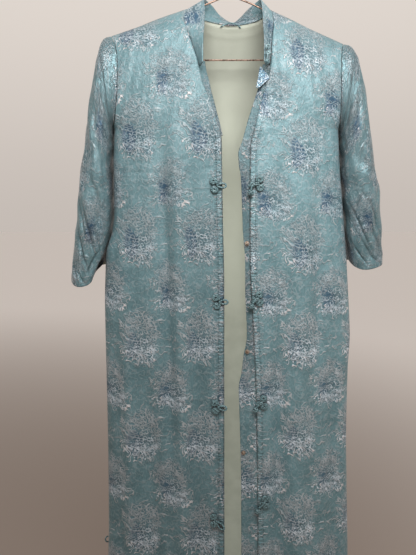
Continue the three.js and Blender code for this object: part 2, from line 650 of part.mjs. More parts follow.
// A whole frog: its coils, its stem and, on one side, the ball knot, bent to the panel.
function frog(name, hand, coils, stems, knots) {
  let body = null;
  const join = (geometry) => {
    const next = solid(geometry);
    body = body ? body.add(next) : next;
  };
  coils.forEach((part) => join(coil(part.x, part.z, part.radius)));
  stems.forEach((part) => join(stem(part.from, part.to, part.width)));
  knots.forEach((part) => {
    const ball = new THREE.SphereGeometry(KNOT, 10, 7);
    ball.translate(part.x, -KNOT * 0.9, part.z);
    join(ball);
  });
  const geometry = fromSolid(body);
  const place = geometry.attributes.position;
  for (let i = 0; i < place.count; i += 1) {
    const lift = place.getY(i) - 0.55;
    place.setY(i, surfaceY(hand, place.getX(i), place.getZ(i)) + Math.min(lift, -0.55));
  }
  geometry.computeVertexNormals();
  add(name, geometry, colours.frog);
}

// Loop side on the right front: two coils and a loop that reaches to the edge.
const loopFrogs = [
  { x: -26.8, z: -418.6, toX: -13.5, toZ: -427 },
  { x: -22.6, z: -619.4, toX: -11.5, toZ: -625 },
  { x: -24.0, z: -809.6, toX: -10.6, toZ: -815 },
  { x: -26.6, z: -1025.6, toX: -9.8, toZ: -1043 },
];
loopFrogs.forEach((row, number) => {
  const lower = { x: row.x + 1.5, z: row.z - 13, radius: COIL };
  const upper = { x: row.x, z: row.z, radius: COIL };
  const tip = { x: row.toX, z: row.toZ, radius: COIL * 0.8 };
  const waist = { x: row.x + 4, z: row.z - 7 };
  frog(`frog_loop_${number + 2}`, 'right', [upper, lower, tip], [{ from: waist, to: tip, width: 6 }], []);
});

// Knot side on the left front: two coils, a small leaf, and the ball knot on its stem.
const knotFrogs = [
  { x: 52.4, z: -415.6, leafX: 39.4, leafZ: -424, knotX: 36.2, knotZ: -438 },
  { x: 53.8, z: -614, leafX: 45.2, leafZ: -622.5, knotX: 39.4, knotZ: -633.5 },
  { x: 63.6, z: -801.6, leafX: 54.4, leafZ: -810, knotX: 49, knotZ: -821 },
  { x: 69.8, z: -990.6, leafX: 62.4, leafZ: -999.5, knotX: 54.2, knotZ: -1012 },
];
knotFrogs.forEach((row, number) => {
  const lower = { x: row.x + 1, z: row.z - 13, radius: COIL };
  const upper = { x: row.x, z: row.z, radius: COIL };
  const leaf = { x: row.leafX, z: row.leafZ, radius: COIL * 0.72 };
  const knot = { x: row.knotX, z: row.knotZ };
  const stems = [
    { from: { x: row.x, z: row.z - 7 }, to: leaf, width: 6 },
    { from: leaf, to: knot, width: 5 },
  ];
  frog(`frog_knot_${number + 2}`, 'left', [upper, lower, leaf], stems, [knot]);
});

// The neck frog's knot side is sewn on the collar's left end.
frog('frog_knot_1', 'left', [
  { x: 62.4, z: -202, radius: 4.4 }, { x: 62, z: -212, radius: 4.4 },
], [
  { from: { x: 62.4, z: -203 }, to: { x: 62, z: -212 }, width: 5 },
], []);

// ---- snaps on the underlap ----------------------------------------------

const underlapFree = along(underlapEdge, 'z', 'x');
const SNAP_IN = 5;              // a snap's centre, from the underlap's free edge
[-524, -716, -904].forEach((z, number) => {
  const stud = new THREE.LatheGeometry([
    new THREE.Vector2(0, 0), new THREE.Vector2(4, 0), new THREE.Vector2(4, 0.9),
    new THREE.Vector2(2, 1.2), new THREE.Vector2(1.6, 2.6), new THREE.Vector2(0, 2.8),
  ], 12);
  stud.rotateX(Math.PI);
  const x = underlapFree(z) + SNAP_IN;
  const span = edgeX.left(z) - STRIP_GAP - underlapFree(z);
  const t = 1 - SNAP_IN / span;
  const y = frontY(edgeX.left(z), z) + underlapTuck(z) * t - 0.4;
  stud.translate(x, y, z);
  add(`snap_${number + 1}`, mergeVertices(stripped(stud), 1e-4), colours.snap);
});

function stripped(geometry) {
  const bare = geometry.clone();
  bare.deleteAttribute('uv');
  bare.deleteAttribute('normal');
  return bare;
}

// ---- cord loops ----------------------------------------------------------

function tube(points, radius, sides, steps, tension = 0.5) {
  const path = new THREE.CatmullRomCurve3(
    points.map((point) => new THREE.Vector3(...point)), false, 'catmullrom', tension,
  );
  const circle = new THREE.Shape();
  circle.absarc(0, 0, radius, 0, 2 * Math.PI);
  return new THREE.ExtrudeGeometry(circle, {
    extrudePath: path, steps, curveSegments: sides / 2, bevelEnabled: false,
  });
}

// Hanger loop sewn inside the back neck, its two ends on the lining's top edge.
const LOOP_RADIUS = 1.1;
function loopPoint(x, rise, forward) {
  const z = neckZ(x) - LINING_DROP - 2 + rise;
  const onLining = liningY(x, neckZ(x) - LINING_DROP - 2) - LINING / 2 - LOOP_RADIUS - 0.35;
  return [x, onLining - forward, z];
}
add('hang_loop', tube([
  loopPoint(-14, 0, 0), loopPoint(-9, 3.5, 0.6), loopPoint(-2, 7, 1.6), loopPoint(5, 8.5, 2),
  loopPoint(12, 7, 1.6), loopPoint(18, 3.5, 0.6), loopPoint(22, 0, 0),
], LOOP_RADIUS, 8, 18), colours.frog);

// Cord loop that sticks out of the right side seam at the top of its slit.
const slitX = sideX.right(-1103);
add('side_loop', tube([
  [slitX - 1.9, -3.4, -1098], [slitX - 5.6, -4.5, -1099.5], [slitX - 7.4, -5, -1104],
  [slitX - 5.8, -4.5, -1108.5], [slitX - 2.1, -3.4, -1110],
], 1.3, 8, 12), colours.frog);

// ---- wire hanger ---------------------------------------------------------

const HOOK_RADIUS = 20.4;       // centre line of the hook
const NECK_Z = -99;             // where the arms leave the twist
const ARM_DROP = 3.8;             // the wire's depth under the shoulder line

function arm(hand, xs) {
  const sign = hand === 'right' ? -1 : 1;
  return xs.map((x) => [sign * x, 0, shoulderZ[hand](sign * x) - ARM_DROP + Math.max(0, 3.5 - x / 14)]);
}

const leftBend = [[195, 0, -188], [198, 0, -194], [195.5, 0, -200.5], [188, 0, BAR_Z]];
const rightBend = [[-197, 0, -173.5], [-201, 0, -184], [-198, 0, -197], [-187, 0, BAR_Z]];
const wirePath = [
  [2.4, 0, NECK_Z + 3.1], [3.4, 0, NECK_Z], ...arm('left', [14, 42, 72, 106, 142, 177, 188]), ...leftBend,
  [160, 0, BAR_Z], [80, 0, BAR_Z], [0, 0, BAR_Z], [-80, 0, BAR_Z], [-160, 0, BAR_Z],
  ...[...rightBend].reverse(), ...arm('right', [14, 42, 72, 106, 142, 177, 190]).reverse(),
  [-3.4, 0, NECK_Z], [-2.4, 0, NECK_Z + 3.1],
];
add('hanger_frame', tube(wirePath, WIRE_RADIUS, 8, 56), colours.wire);

const hookPath = [[0, 0, NECK_Z + 3], [0, 0, -80], [0, 0, -62], [5, 0, -47], [15, 0, -34]];
for (let step = 0; step <= 9; step += 1) {
  const angle = mix(0, Math.PI, step / 9);
  hookPath.push([
    HOOK_RADIUS * Math.cos(angle), 0,
    WIRE_RADIUS - HOOK_RADIUS + HOOK_RADIUS * Math.sin(angle),
  ]);
}
hookPath.push([-HOOK_RADIUS + 0.6, 0, WIRE_RADIUS - HOOK_RADIUS - 9]);
add('hanger_hook', tube(hookPath, WIRE_RADIUS, 8, 26), colours.wire);

// The twist that binds the hook's shank to the frame.
const TWIST = [
  { radius: 1.75, z: -95.5 }, { radius: 3.6, z: -95.5 }, { radius: 4.3, z: -92 },
  { radius: 4.3, z: -74 }, { radius: 3.4, z: -71 }, { radius: 1.75, z: -71 },
];
const twistProfile = [...TWIST, TWIST[0]].map((row) => new THREE.Vector2(row.radius, row.z));
const twist = new THREE.LatheGeometry(twistProfile, 12);
twist.rotateX(Math.PI / 2);
add('hanger_twist', twist, colours.wire);

export default coat;
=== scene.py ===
"""Looks of a full-length brocade hostess coat that hangs open on a wire hanger.

Shapes are worked out in millimetres from the coat's own sizes, the same ones as the CAD
model's, and turned into metres when a mesh is made. +X is towards the wearer's left side,
the coat's front faces -Y, and the origin is the inside top of the hanger's hook.
"""

import math

import bpy
import numpy as np
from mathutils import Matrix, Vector


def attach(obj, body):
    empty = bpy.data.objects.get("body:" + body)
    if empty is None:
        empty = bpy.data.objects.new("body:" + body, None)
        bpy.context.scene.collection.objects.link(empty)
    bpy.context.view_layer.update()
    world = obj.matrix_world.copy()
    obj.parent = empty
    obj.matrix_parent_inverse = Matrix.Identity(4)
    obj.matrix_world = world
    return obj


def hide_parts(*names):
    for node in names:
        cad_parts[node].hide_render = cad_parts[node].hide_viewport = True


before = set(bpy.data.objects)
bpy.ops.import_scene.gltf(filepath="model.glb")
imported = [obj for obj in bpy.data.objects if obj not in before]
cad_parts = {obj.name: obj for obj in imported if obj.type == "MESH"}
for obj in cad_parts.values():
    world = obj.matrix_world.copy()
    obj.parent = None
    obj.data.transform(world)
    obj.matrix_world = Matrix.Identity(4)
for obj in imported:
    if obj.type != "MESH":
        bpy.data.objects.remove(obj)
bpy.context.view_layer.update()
MM = 0.001

# ---- camera ----------------------------------------------------------------

PHOTO_HEIGHT, FOCAL_LENGTH = 555, 480.0     # in the photo's pixels
CAMERA_AT = (-36.0, -880.0, -488.7)
CAMERA_DOWN = 6.5               # degrees below the horizontal

camera = bpy.data.objects.new("camera", bpy.data.cameras.new("camera"))
bpy.context.scene.collection.objects.link(camera)
camera.data.sensor_width = 36.0
camera.data.lens = FOCAL_LENGTH / PHOTO_HEIGHT * 36.0
camera.location = Vector(CAMERA_AT) * MM
camera.rotation_euler = (math.radians(90 - CAMERA_DOWN), 0.0, 0.0)
camera.data.clip_start = 0.05
bpy.context.scene.camera = camera

# ---- sizes of the coat, in millimetres ------------------------------------

WALL = 1.6                      # the lined cloth
HEM_Z = -1505.0
UNDERARM_Z = -328.0
FRONT_EDGE_Z = -315.0
TIP_Z = {"right": -166.4, "left": -179.8}
CAP_ROWS, BODY_ROWS = 10, 15    # the CAD grid's rows, which the finer rows divide
SHOULDER_GAP = 1.4              # front and back stand this far from the hanger's plane
SHOULDER_ROUND = 20.0           # how soon the cloth stands off below the shoulder line
SIDE_ROUND = 2.6                # 2 gives a section that is an oval, more a squarer one
TUCKED_UNDER = 3.0              # how far a strip reaches in under the front's edge
WIRE_RADIUS = 1.4
BAR_Z = -205.3                  # the hanger's bar
NECK_X = 72.5                   # half the neck's width

# (x, z) down each shoulder, carried on over the neck
SHOULDER = {
    "right": [(0, -97), (-43, -111), (-72.5, -121.5), (-119, -136.6), (-154, -149.9),
              (-181, -159), (-203.6, -166.4), (-230, -176)],
    "left": [(0, -97), (43, -110), (72.5, -123.4), (106.6, -138.3), (141.8, -154.8),
             (177, -169.8), (200.1, -179.8), (230, -194)],
}
# (z, x) down the armhole and the side seam
SIDE = {
    "right": [(-166.4, -203.6), (-188, -194), (-213, -190), (-245, -190), (-278, -191.5),
              (-310, -196.5), (-328, -201), (-385, -204), (-471, -205), (-502, -208.5),
              (-540, -220), (-570, -222.5), (-650, -225.5), (-853, -225.6), (-1067, -228),
              (-1141, -231), (HEM_Z, -243)],
    "left": [(-179.8, 200.1), (-190, 194.5), (-213, 191.5), (-245, 191), (-278, 191),
             (-310, 191.5), (-328, 193.5), (-385, 198), (-439, 203.5), (-493, 209.5),
             (-529, 213.5), (-594, 219), (-678, 225.6), (-700, 226.6), (-760, 224.6),
             (-863, 225.3), (-964, 229), (-1088, 234.7), (HEM_Z, 252)],
}
# (z, x) down the neck seam and the front edge
EDGE = {
    "right": [(-121.5, -72.5), (-139, -76), (-160, -72.5), (-183, -65), (-205, -57.5),
              (-217, -53), (-247, -47), (-264, -41), (-290, -29.5), (-320, -19.5),
              (-341, -13.4), (-382, -12.2), (-484, -10.4), (-588, -7.8), (-806, -6.8),
              (HEM_Z, -4)],
    "left": [(-123.4, 72.5), (-139, 75), (-160, 74.6), (-183, 72), (-213, 70), (-240, 66),
             (-262, 60), (-290, 52), (-316, 46), (-366, 35.4), (-450, 35.7), (-562, 37.3),
             (-677, 43.8), (-806, 50.4), (-998, 54.6), (HEM_Z, 61)],
}
# (z, x) down the free edges of the two strips on the front edges
ROLLED_EDGE = [(-205, -43), (-228.5, -39.5), (-247, -34.7), (-266, -30.7), (-284, -26),
               (-303, -21.2), (-321.5, -16.3), (-345, -10.4)]
UNDERLAP_EDGE = [(-222, 57), (-259, 49.9), (-285, 41.9), (-318, 31.3), (-350, 22.4),
                 (-372, 15.4), (-389, 16.4), (-411, 20), (-432, 21.3), (-501, 24.3),
                 (-557, 28.8), (-607, 29.4), (-688, 32.9), (-724, 27.5), (-756, 23.8),
                 (-782, 19.1), (-827, 20.7), (-961, 24.7), (-1111, 26.2), (HEM_Z, 31)]
# (z, stand-off) of the fullest part of each face, and (z, beyond the side seam) where a
# section closes
FULLNESS = {
    "front": [(-97, 30), (-180, 33), (-250, 41), (-341, 47), (-600, 47), (-1110, 51), (HEM_Z, 55)],
    "back": [(-97, 27), (-180, 30), (-250, 34), (-341, 36), (-600, 35), (-1110, 40), (HEM_Z, 46)],
}
CLOSING = [(-120, 46), (-245, 45), (-278, 37), (-300, 24), (-315, 11), (UNDERARM_Z, 0), (HEM_Z, 0)]

# Long soft folds: (x at the top, x at the bottom, top, bottom, width, depth)
FOLDS = {
    "front": [
        (-118, -96, -300, -1000, 13, 6), (-140, -125, -760, -1600, 14, 5),
        (-60, -52, -520, -1600, 16, 5), (-185, -178, -560, -1600, 13, -5),
        (-95, -78, -300, -1400, 16, -4), (76, 80, -190, -300, 7, -5),
        (92, 98, -620, -1600, 12, 6), (158, 168, -430, -820, 13, 6),
        (188, 214, -620, -1600, 14, 6), (126, 132, -350, -1500, 17, -4),
    ],
    "back": [
        (-88, -104, -420, -1600, 17, 8), (8, 2, -520, -1600, 19, -6),
        (84, 112, -380, -1600, 16, 8), (-160, -178, -620, -1600, 15, -6),
        (156, 182, -560, -1600, 15, -6),
    ],
}
FOLD_STRENGTH = 1.75            # the cloth's folds are this much deeper than the solids'


def along(table):
    """A smooth line through (place, value) rows, for arrays of places."""
    rows = sorted(table)
    xs = np.array([row[0] for row in rows], float)
    ys = np.array([row[1] for row in rows], float)
    slopes = np.diff(ys) / np.diff(xs)
    tangents = np.zeros_like(xs)
    tangents[0], tangents[-1] = slopes[0], slopes[-1]
    for i in range(1, len(xs) - 1):
        before, after = slopes[i - 1], slopes[i]
        if before * after > 0:
            tangents[i] = 2 * before * after / (before + after)

    def value(x):
        x = np.clip(np.asarray(x, float), xs[0], xs[-1])
        i = np.clip(np.searchsorted(xs, x, side="right") - 1, 0, len(xs) - 2)
        width = xs[i + 1] - xs[i]
        t = (x - xs[i]) / width
        smooth = t * t * (3 - 2 * t)
        bend = t * (1 - t) * width
        return (ys[i] + (ys[i + 1] - ys[i]) * smooth
                + bend * ((1 - t) * tangents[i] - t * tangents[i + 1]))

    return value


shoulder_z = {hand: along(rows) for hand, rows in SHOULDER.items()}
side_x = {hand: along(rows) for hand, rows in SIDE.items()}
edge_x = {hand: along(rows) for hand, rows in EDGE.items()}
full = {face: along(rows) for face, rows in FULLNESS.items()}
beyond = along(CLOSING)


def mix(a, b, t):
    return a + (b - a) * t


def step(low, high, x):
    """0 below low, 1 above high, smooth between."""
    t = np.clip((x - low) / (high - low), 0.0, 1.0)
    return t * t * (3 - 2 * t)


def ripple(x, z, seed, across, down, waves=7):
    """Soft irregular waves between -1 and 1, about `across` by `down` mm each."""
    dice = np.random.default_rng(seed)
    total = np.zeros(np.broadcast(x, z).shape)
    for _ in range(waves):
        kx = dice.normal(0, 1) * 2 * math.pi / across
        kz = dice.normal(0, 1) * 2 * math.pi / down
        total = total + np.sin(kx * x + kz * z + dice.uniform(0, 2 * math.pi))
    return total / math.sqrt(waves) * 0.7


def fold_depth(face, x, z):
    """Depth of the long folds at a place, towards the hanger's plane where positive."""
    total = np.zeros(np.broadcast(x, z).shape)
    for x_top, x_low, top, bottom, width, depth in FOLDS[face]:
        length = top - bottom
        down = (top - z) / length
        inside = (down > 0) & (down < 1)
        fade = np.clip(np.minimum(down, 1 - down) * length / 140, 0, 1)
        reach = (x - mix(x_top, x_low, down)) / width
        total = total + np.where(inside, depth * fade * np.exp(-reach * reach), 0.0)
    return total * FOLD_STRENGTH


def plain_stand_off(face, x, z, fold=0.0):
    """Distance of the cloth from the hanger's plane, at a place seen from the front."""
    shoulder = np.where(x < 0, shoulder_z["right"](x), shoulder_z["left"](x))
    side = np.where(x < 0, -side_x["right"](z), side_x["left"](z))
    fall = np.maximum(0, shoulder - z)
    across = np.minimum(1, np.abs(x) / (side + beyond(z)))
    turn = (1 - across ** SIDE_ROUND) ** (1 / SIDE_ROUND)
    rise = 1 - np.exp(-fall / SHOULDER_ROUND)
    return SHOULDER_GAP + (full[face](z) - fold * np.minimum(1, turn * 1.6)) * rise * turn


def stand_off(face, x, z):
    """The same with the long folds."""
    return plain_stand_off(face, x, z, fold_depth(face, x, z))


# ---- meshes ----------------------------------------------------------------

def link_mesh(name, points, faces):
    """A smooth mesh object from points in millimetres."""
    mesh = bpy.data.meshes.new(name)
    mesh.from_pydata([tuple(p) for p in np.asarray(points) * MM], [], faces)
    mesh.validate()
    for polygon in mesh.polygons:
        polygon.use_smooth = True
    obj = bpy.data.objects.new(name, mesh)
    bpy.context.scene.collection.objects.link(obj)
    return obj


def grid_normals(points, round_it):
    down = np.gradient(points, axis=0)
    if round_it:
        across = (np.roll(points, -1, axis=1) - np.roll(points, 1, axis=1)) / 2
    else:
        across = np.gradient(points, axis=1)
    normal = np.cross(across, down)
    return normal / np.maximum(np.linalg.norm(normal, axis=2, keepdims=True), 1e-9)


def flat_place(points):
    """Where each point of a hanging panel lies on its flat cloth, kept true at the middle."""
    across = np.diff(points, axis=1)
    down = np.diff(points, axis=0)
    widths = np.hypot(across[:, :, 0], across[:, :, 1]) * np.sign(across[:, :, 0])
    heights = np.hypot(down[:, :, 1], down[:, :, 2]) * np.sign(down[:, :, 2])
    u = np.pad(np.cumsum(widths, axis=1), ((0, 0), (1, 0)))
    v = np.pad(np.cumsum(heights, axis=0), ((1, 0), (0, 0)))
    column, row = points.shape[1] // 2, points.shape[0] // 2
    u += (points[:, column, 0] - u[:, column])[:, None]
    v += (points[row, :, 2] - v[row])[None, :]
    return np.stack([u, v], axis=2)


def cloth_wall(name, points, cloth_uv, materials, thickness=WALL, round_it=False, outward=None,
               from_seam=None):
    """A closed wall on a grid of points. The first material is the face side, the second the
    inside. cloth_uv gives each point's place on the flat cloth, in millimetres; where the
    grid is round, it has one column more than the points. from_seam gives each point's
    distance from its sewn edge, for stitches; on a sleeve it marks sunken cloth for a painted
    shadow instead."""
    rows, columns = points.shape[:2]
    normal = grid_normals(points, round_it)
    if outward is not None:
        middle = normal[rows // 2, columns // 2] if not round_it else normal[rows // 2, 0]
        if np.dot(middle, outward) < 0:
            normal = -normal
    outer = points + normal * thickness / 2
    inner = points - normal * thickness / 2
    vertices = np.concatenate([outer.reshape(-1, 3), inner.reshape(-1, 3)])
    count = rows * columns
    faces, slots, corners = [], [], []

    def put(quad, slot, spots):
        faces.append(quad)
        slots.append(slot)
        corners.extend(spots)

    steps = columns if round_it else columns - 1
    for i in range(rows - 1):
        for j in range(steps):
            k = (j + 1) % columns
            a, b = i * columns + j, (i + 1) * columns + j
            c, d = (i + 1) * columns + k, i * columns + k
            spots = [(i, j), (i + 1, j), (i + 1, j + 1), (i, j + 1)]
            put((a, b, c, d), 0, spots)
            put((d + count, c + count, b + count, a + count), 1, spots[::-1])
    for i, flip in ((0, False), (rows - 1, True)):
        for j in range(steps):
            k = (j + 1) % columns
            a, b = i * columns + j, i * columns + k
            quad, spots = (a, b, b + count, a + count), [(i, j), (i, j + 1), (i, j + 1), (i, j)]
            put(quad[::-1] if flip else quad, 0, spots[::-1] if flip else spots)
    if not round_it:
        for j, flip in ((0, True), (columns - 1, False)):
            for i in range(rows - 1):
                a, b = i * columns + j, (i + 1) * columns + j
                quad, spots = (a, b, b + count, a + count), [(i, j), (i + 1, j), (i + 1, j), (i, j)]
                put(quad[::-1] if flip else quad, 0, spots[::-1] if flip else spots)
    obj = link_mesh(name, vertices, faces)
    mesh = obj.data
    layer = mesh.uv_layers.new(name="cloth")
    spots = np.array(corners)
    flat = cloth_uv[spots[:, 0], spots[:, 1]] * MM
    layer.data.foreach_set("uv", flat.astype(np.float32).ravel())
    if from_seam is not None:
        layer = mesh.uv_layers.new(name="seam")
        beside = np.stack([from_seam, points[:, :, 2]], axis=2)
        beside = beside[spots[:, 0], spots[:, 1] % columns] * MM
        layer.data.foreach_set("uv", beside.astype(np.float32).ravel())
    for material in materials:
        mesh.materials.append(material)
    mesh.polygons.foreach_set("material_index", slots)
    turn_outward(mesh)
    return obj


def turn_outward(mesh):
    """Turns every face round if the closed mesh is inside out."""
    points = np.empty(len(mesh.vertices) * 3)
    mesh.vertices.foreach_get("co", points)
    points = points.reshape(-1, 3)
    mesh.calc_loop_triangles()
    corners = np.empty(len(mesh.loop_triangles) * 3, dtype=np.int64)
    mesh.loop_triangles.foreach_get("vertices", corners)
    a, b, c = (points[corners.reshape(-1, 3)[:, k]] for k in range(3))
    volume = float(np.einsum("ij,ij->", a, np.cross(b, c)))
    if volume < 0:
        mesh.flip_normals()


def tube_mesh(path, radius, sides=10, closed=False):
    """Points and faces of a tube along a path; `radius` is one number or one per point."""
    path = np.asarray(path, float)
    count = len(path)
    radii = np.broadcast_to(np.asarray(radius, float), (count,))
    if closed:
        tangent = np.roll(path, -1, axis=0) - np.roll(path, 1, axis=0)
    else:
        tangent = np.gradient(path, axis=0)
    tangent /= np.linalg.norm(tangent, axis=1, keepdims=True)
    normal = np.cross(tangent[0], (0.31, 0.92, 0.23))
    normal /= np.linalg.norm(normal)
    points = []
    for i in range(count):
        normal = normal - tangent[i] * np.dot(normal, tangent[i])
        normal /= np.linalg.norm(normal)
        side = np.cross(tangent[i], normal)
        for j in range(sides):
            angle = 2 * math.pi * j / sides
            points.append(path[i] + radii[i] * (math.cos(angle) * normal + math.sin(angle) * side))
    faces = []
    for i in range(count if closed else count - 1):
        for j in range(sides):
            k = (j + 1) % sides
            a, b = i * sides + j, i * sides + k
            c, d = ((i + 1) % count) * sides + k, ((i + 1) % count) * sides + j
            faces.append((a, b, c, d))
    if not closed:
        faces.append(tuple(range(sides))[::-1])
        faces.append(tuple((count - 1) * sides + j for j in range(sides)))
    return np.array(points), faces


def join_parts(parts):
    """One list of points and faces from several."""
    points, faces, start = [], [], 0
    for part_points, part_faces in parts:
        points.append(part_points)
        faces.extend(tuple(k + start for k in face) for face in part_faces)
        start += len(part_points)
    return np.concatenate(points), faces


def smooth_path(points, steps):
    """A Catmull-Rom line through the points, `steps` places in all."""
    points = np.asarray(points, float)
    padded = np.vstack([2 * points[0] - points[1], points, 2 * points[-1] - points[-2]])
    out = []
    for s in np.linspace(0, len(points) - 1, steps):
        i = min(int(s), len(points) - 2)
        t = s - i
        p0, p1, p2, p3 = padded[i:i + 4]
        out.append(0.5 * (2 * p1 + (p2 - p0) * t + (2 * p0 - 5 * p1 + 4 * p2 - p3) * t * t
                          + (3 * p1 - p0 - 3 * p2 + p3) * t ** 3))
    return np.array(out)


# ---- materials -------------------------------------------------------------

def give(node, values):
    """Sets or links a node's inputs. Each value is a number, a colour, a socket or a Wire."""
    for name, value in values.items():
        value = getattr(value, "socket", value)
        if isinstance(value, bpy.types.NodeSocket):
            node.id_data.links.new(value, node.inputs[name])
        else:
            node.inputs[name].default_value = value


class Wire:
    """A value in a node tree. Arithmetic on it adds Math nodes."""

    def __init__(self, tree, socket):
        self.tree, self.socket = tree, socket

    def math(self, operation, *others):
        node = self.tree.nodes.new("ShaderNodeMath")
        node.operation = operation
        give(node, dict(enumerate((self, *others))))
        return Wire(self.tree, node.outputs[0])

    def __add__(self, other):
        return self.math("ADD", other)

    def __sub__(self, other):
        return self.math("SUBTRACT", other)

    def __rsub__(self, other):
        return (self * -1.0) + other

    def __mul__(self, other):
        return self.math("MULTIPLY", other)

    def __truediv__(self, other):
        return self.math("DIVIDE", other)

    def ramp(self, low, high):
        """0 at low, 1 at high, smooth between; low may be the greater."""
        node = self.tree.nodes.new("ShaderNodeMapRange")
        node.interpolation_type = "SMOOTHSTEP"
        give(node, {"Value": self, "From Min": low, "From Max": high})
        return Wire(self.tree, node.outputs["Result"])


def parts_of(tree, socket, count, kind="XYZ"):
    """The first parts of a vector (XYZ) or a colour (Color)."""
    node = tree.nodes.new("ShaderNodeSeparate" + kind)
    give(node, {0: socket})
    return [Wire(tree, node.outputs[k]) for k in range(count)]


def place_on(tree, kind):
    """Blender's own coordinates of a place, as a socket: UV, Object or Generated."""
    return tree.nodes.new("ShaderNodeTexCoord").outputs[kind]


def add_bump(tree, shader, height, strength, distance):
    node = tree.nodes.new("ShaderNodeBump")
    give(node, {"Strength": strength, "Distance": distance, "Height": height})
    give(shader, {"Normal": node.outputs[0]})


def linear(red, green, blue):
    """A colour given as it looks on a screen, 0 to 255."""
    def one(value):
        value /= 255
        return value / 12.92 if value <= 0.04045 else ((value + 0.055) / 1.055) ** 2.4
    return (one(red), one(green), one(blue), 1.0)


def painted_corner_shade(tree, colour, painted_light, reach, depth):
    """The colour, times a brightness factor, with painted shade where other cloth or cord lies
    within reach, in metres.
    """
    near = tree.nodes.new("ShaderNodeAmbientOcclusion")
    near.samples = 6
    give(near, {"Distance": reach})
    value = (Wire(tree, near.outputs["AO"]) * depth + (1.0 - depth)).math("MAXIMUM", 0.06) * painted_light
    darker = tree.nodes.new("ShaderNodeHueSaturation")
    give(darker, {"Color": colour, "Value": value})
    return darker.outputs[0]


def new_material(name):
    material = bpy.data.materials.new(name)
    material.use_nodes = True
    tree = material.node_tree
    return material, tree, tree.nodes["Principled BSDF"]


def cloth_place(tree):
    """The place on the flat cloth, in millimetres."""
    return [part * 1000.0 for part in parts_of(tree, place_on(tree, "UV"), 2)]


def vector(tree, x, y, z=0.0):
    node = tree.nodes.new("ShaderNodeCombineXYZ")
    give(node, {0: x, 1: y, 2: z})
    return node.outputs[0]


def noise(tree, x, y, size, seed=0.0, detail=1.0):
    """Smooth noise from 0 to 1 over the cloth, its lumps about `size` mm."""
    node = tree.nodes.new("ShaderNodeTexNoise")
    give(node, {"Scale": 1.0, "Detail": detail, "Vector": vector(tree, x / size, y / size, seed)})
    return Wire(tree, node.outputs[0])


def blend_colour(tree, mask, below, above):
    """`above` over `below` where the mask is 1; each is a colour or a socket."""
    node = tree.nodes.new("ShaderNodeMix")
    node.data_type = "RGBA"
    give(node, {"Factor": mask, 6: below, 7: above})
    return node.outputs[2]


def contours(value, levels, width):
    """Thin lines along the level curves of a smooth value."""
    return (value * levels).math("PINGPONG", 0.5).ramp(width, width * 0.4)


def curls(tree, x, y, cell, width, seed):
    """Threads that curl up like little springs, one to a cell: (the threads, the gaps)."""
    warped_x = x + (noise(tree, x, y, 13.0, seed) - 0.5) * (cell * 1.1)
    warped_y = y + (noise(tree, x, y, 13.0, seed + 5.3) - 0.5) * (cell * 1.1)
    node = tree.nodes.new("ShaderNodeTexVoronoi")
    node.voronoi_dimensions = "2D"
    px, py = warped_x / cell, warped_y / cell + seed
    give(node, {"Scale": 1.0, "Vector": vector(tree, px, py)})
    middle_x, middle_y = parts_of(tree, node.outputs["Position"], 2)
    chance, = parts_of(tree, node.outputs["Color"], 1, "Color")
    angle = (py - middle_y).math("ARCTAN2", px - middle_x)
    turn = (angle / (2 * math.pi) + chance).math("FRACT")
    distance = Wire(tree, node.outputs["Distance"])
    off = (distance - (turn * 0.3 + 0.22)).math("ABSOLUTE") * cell
    return off.ramp(width, width * 0.4), off.ramp(width * 1.1, width * 1.9)


def petals(tree, x, y, number, reach, width, curl, seed):
    """The outer ends of thin petals that fan out round (0, 0): (their length, their tips)."""
    bend_x = (noise(tree, x, y, 15.0, seed) - 0.5) * curl
    bend_y = (noise(tree, x, y, 15.0, seed + 5.3) - 0.5) * curl
    px, py = x + bend_x, y + bend_y
    radius = (px * px + py * py).math("SQRT")
    place = py.math("ARCTAN2", px) * (number / (2 * math.pi)) + seed
    slot = place.math("FLOOR")
    chance = tree.nodes.new("ShaderNodeTexWhiteNoise")
    chance.noise_dimensions = "1D"
    give(chance, {"W": slot + seed * 7.0})
    first, second, third = parts_of(tree, chance.outputs["Color"], 3, "Color")
    length = (first * 0.55 + 0.45) * reach
    out = radius / length
    hook = (second - 0.5) * out.math("POWER", 6.0) * 2.2
    off = (place - slot - 0.5 + hook).math("ABSOLUTE") * radius * (2 * math.pi / number)
    half = out.ramp(0.75, 1.0) * (width * 0.6) + width
    line = off.ramp(half + 0.6, half - 0.2)
    shown = out.ramp(1.02, 0.96) * out.ramp(third * 0.45 + 0.1, third * 0.45 + 0.25)
    petal = line * shown
    return petal, petal * out.ramp(0.78, 0.95)


def patch(tree, x, y, at_x, at_y, wide, high, rough=0.5, seed=0.0):
    """A soft ragged oval, 1 at its middle and 0 outside."""
    dx, dy = (x - at_x) / wide, (y - at_y) / high
    ragged = (noise(tree, x, y, 11.0, seed + 2.2, detail=2.0) - 0.5) * rough * 2.0
    return ((dx * dx + dy * dy).math("SQRT") + ragged).ramp(1.05, 0.55)


def nearest_flower(u, v, rows, at_u, at_v):
    """The place beside the nearer flower of a half-drop lattice, 1 for the smaller kind, and
    how well inside its own field the place lies."""
    places = []
    for shift, size in ((0.0, 1.0), (0.5, 0.88)):
        cell_u = (u - at_u) / PITCH - shift
        cell_v = (v - at_v) / rows - shift
        places.append(((cell_u - (cell_u + 0.5).math("FLOOR")) * (PITCH / size),
                       (cell_v - (cell_v + 0.5).math("FLOOR")) * (rows / size)))
    (first_x, first_y), (second_x, second_y) = places
    nearer = second_x * second_x + second_y * second_y - first_x * first_x - first_y * first_y
    small = nearer.math("LESS_THAN", 0.0)
    inside = nearer.math("ABSOLUTE").ramp(0.0, 1700.0)
    return (first_x + (second_x - first_x) * small, first_y + (second_y - first_y) * small,
            small, inside)


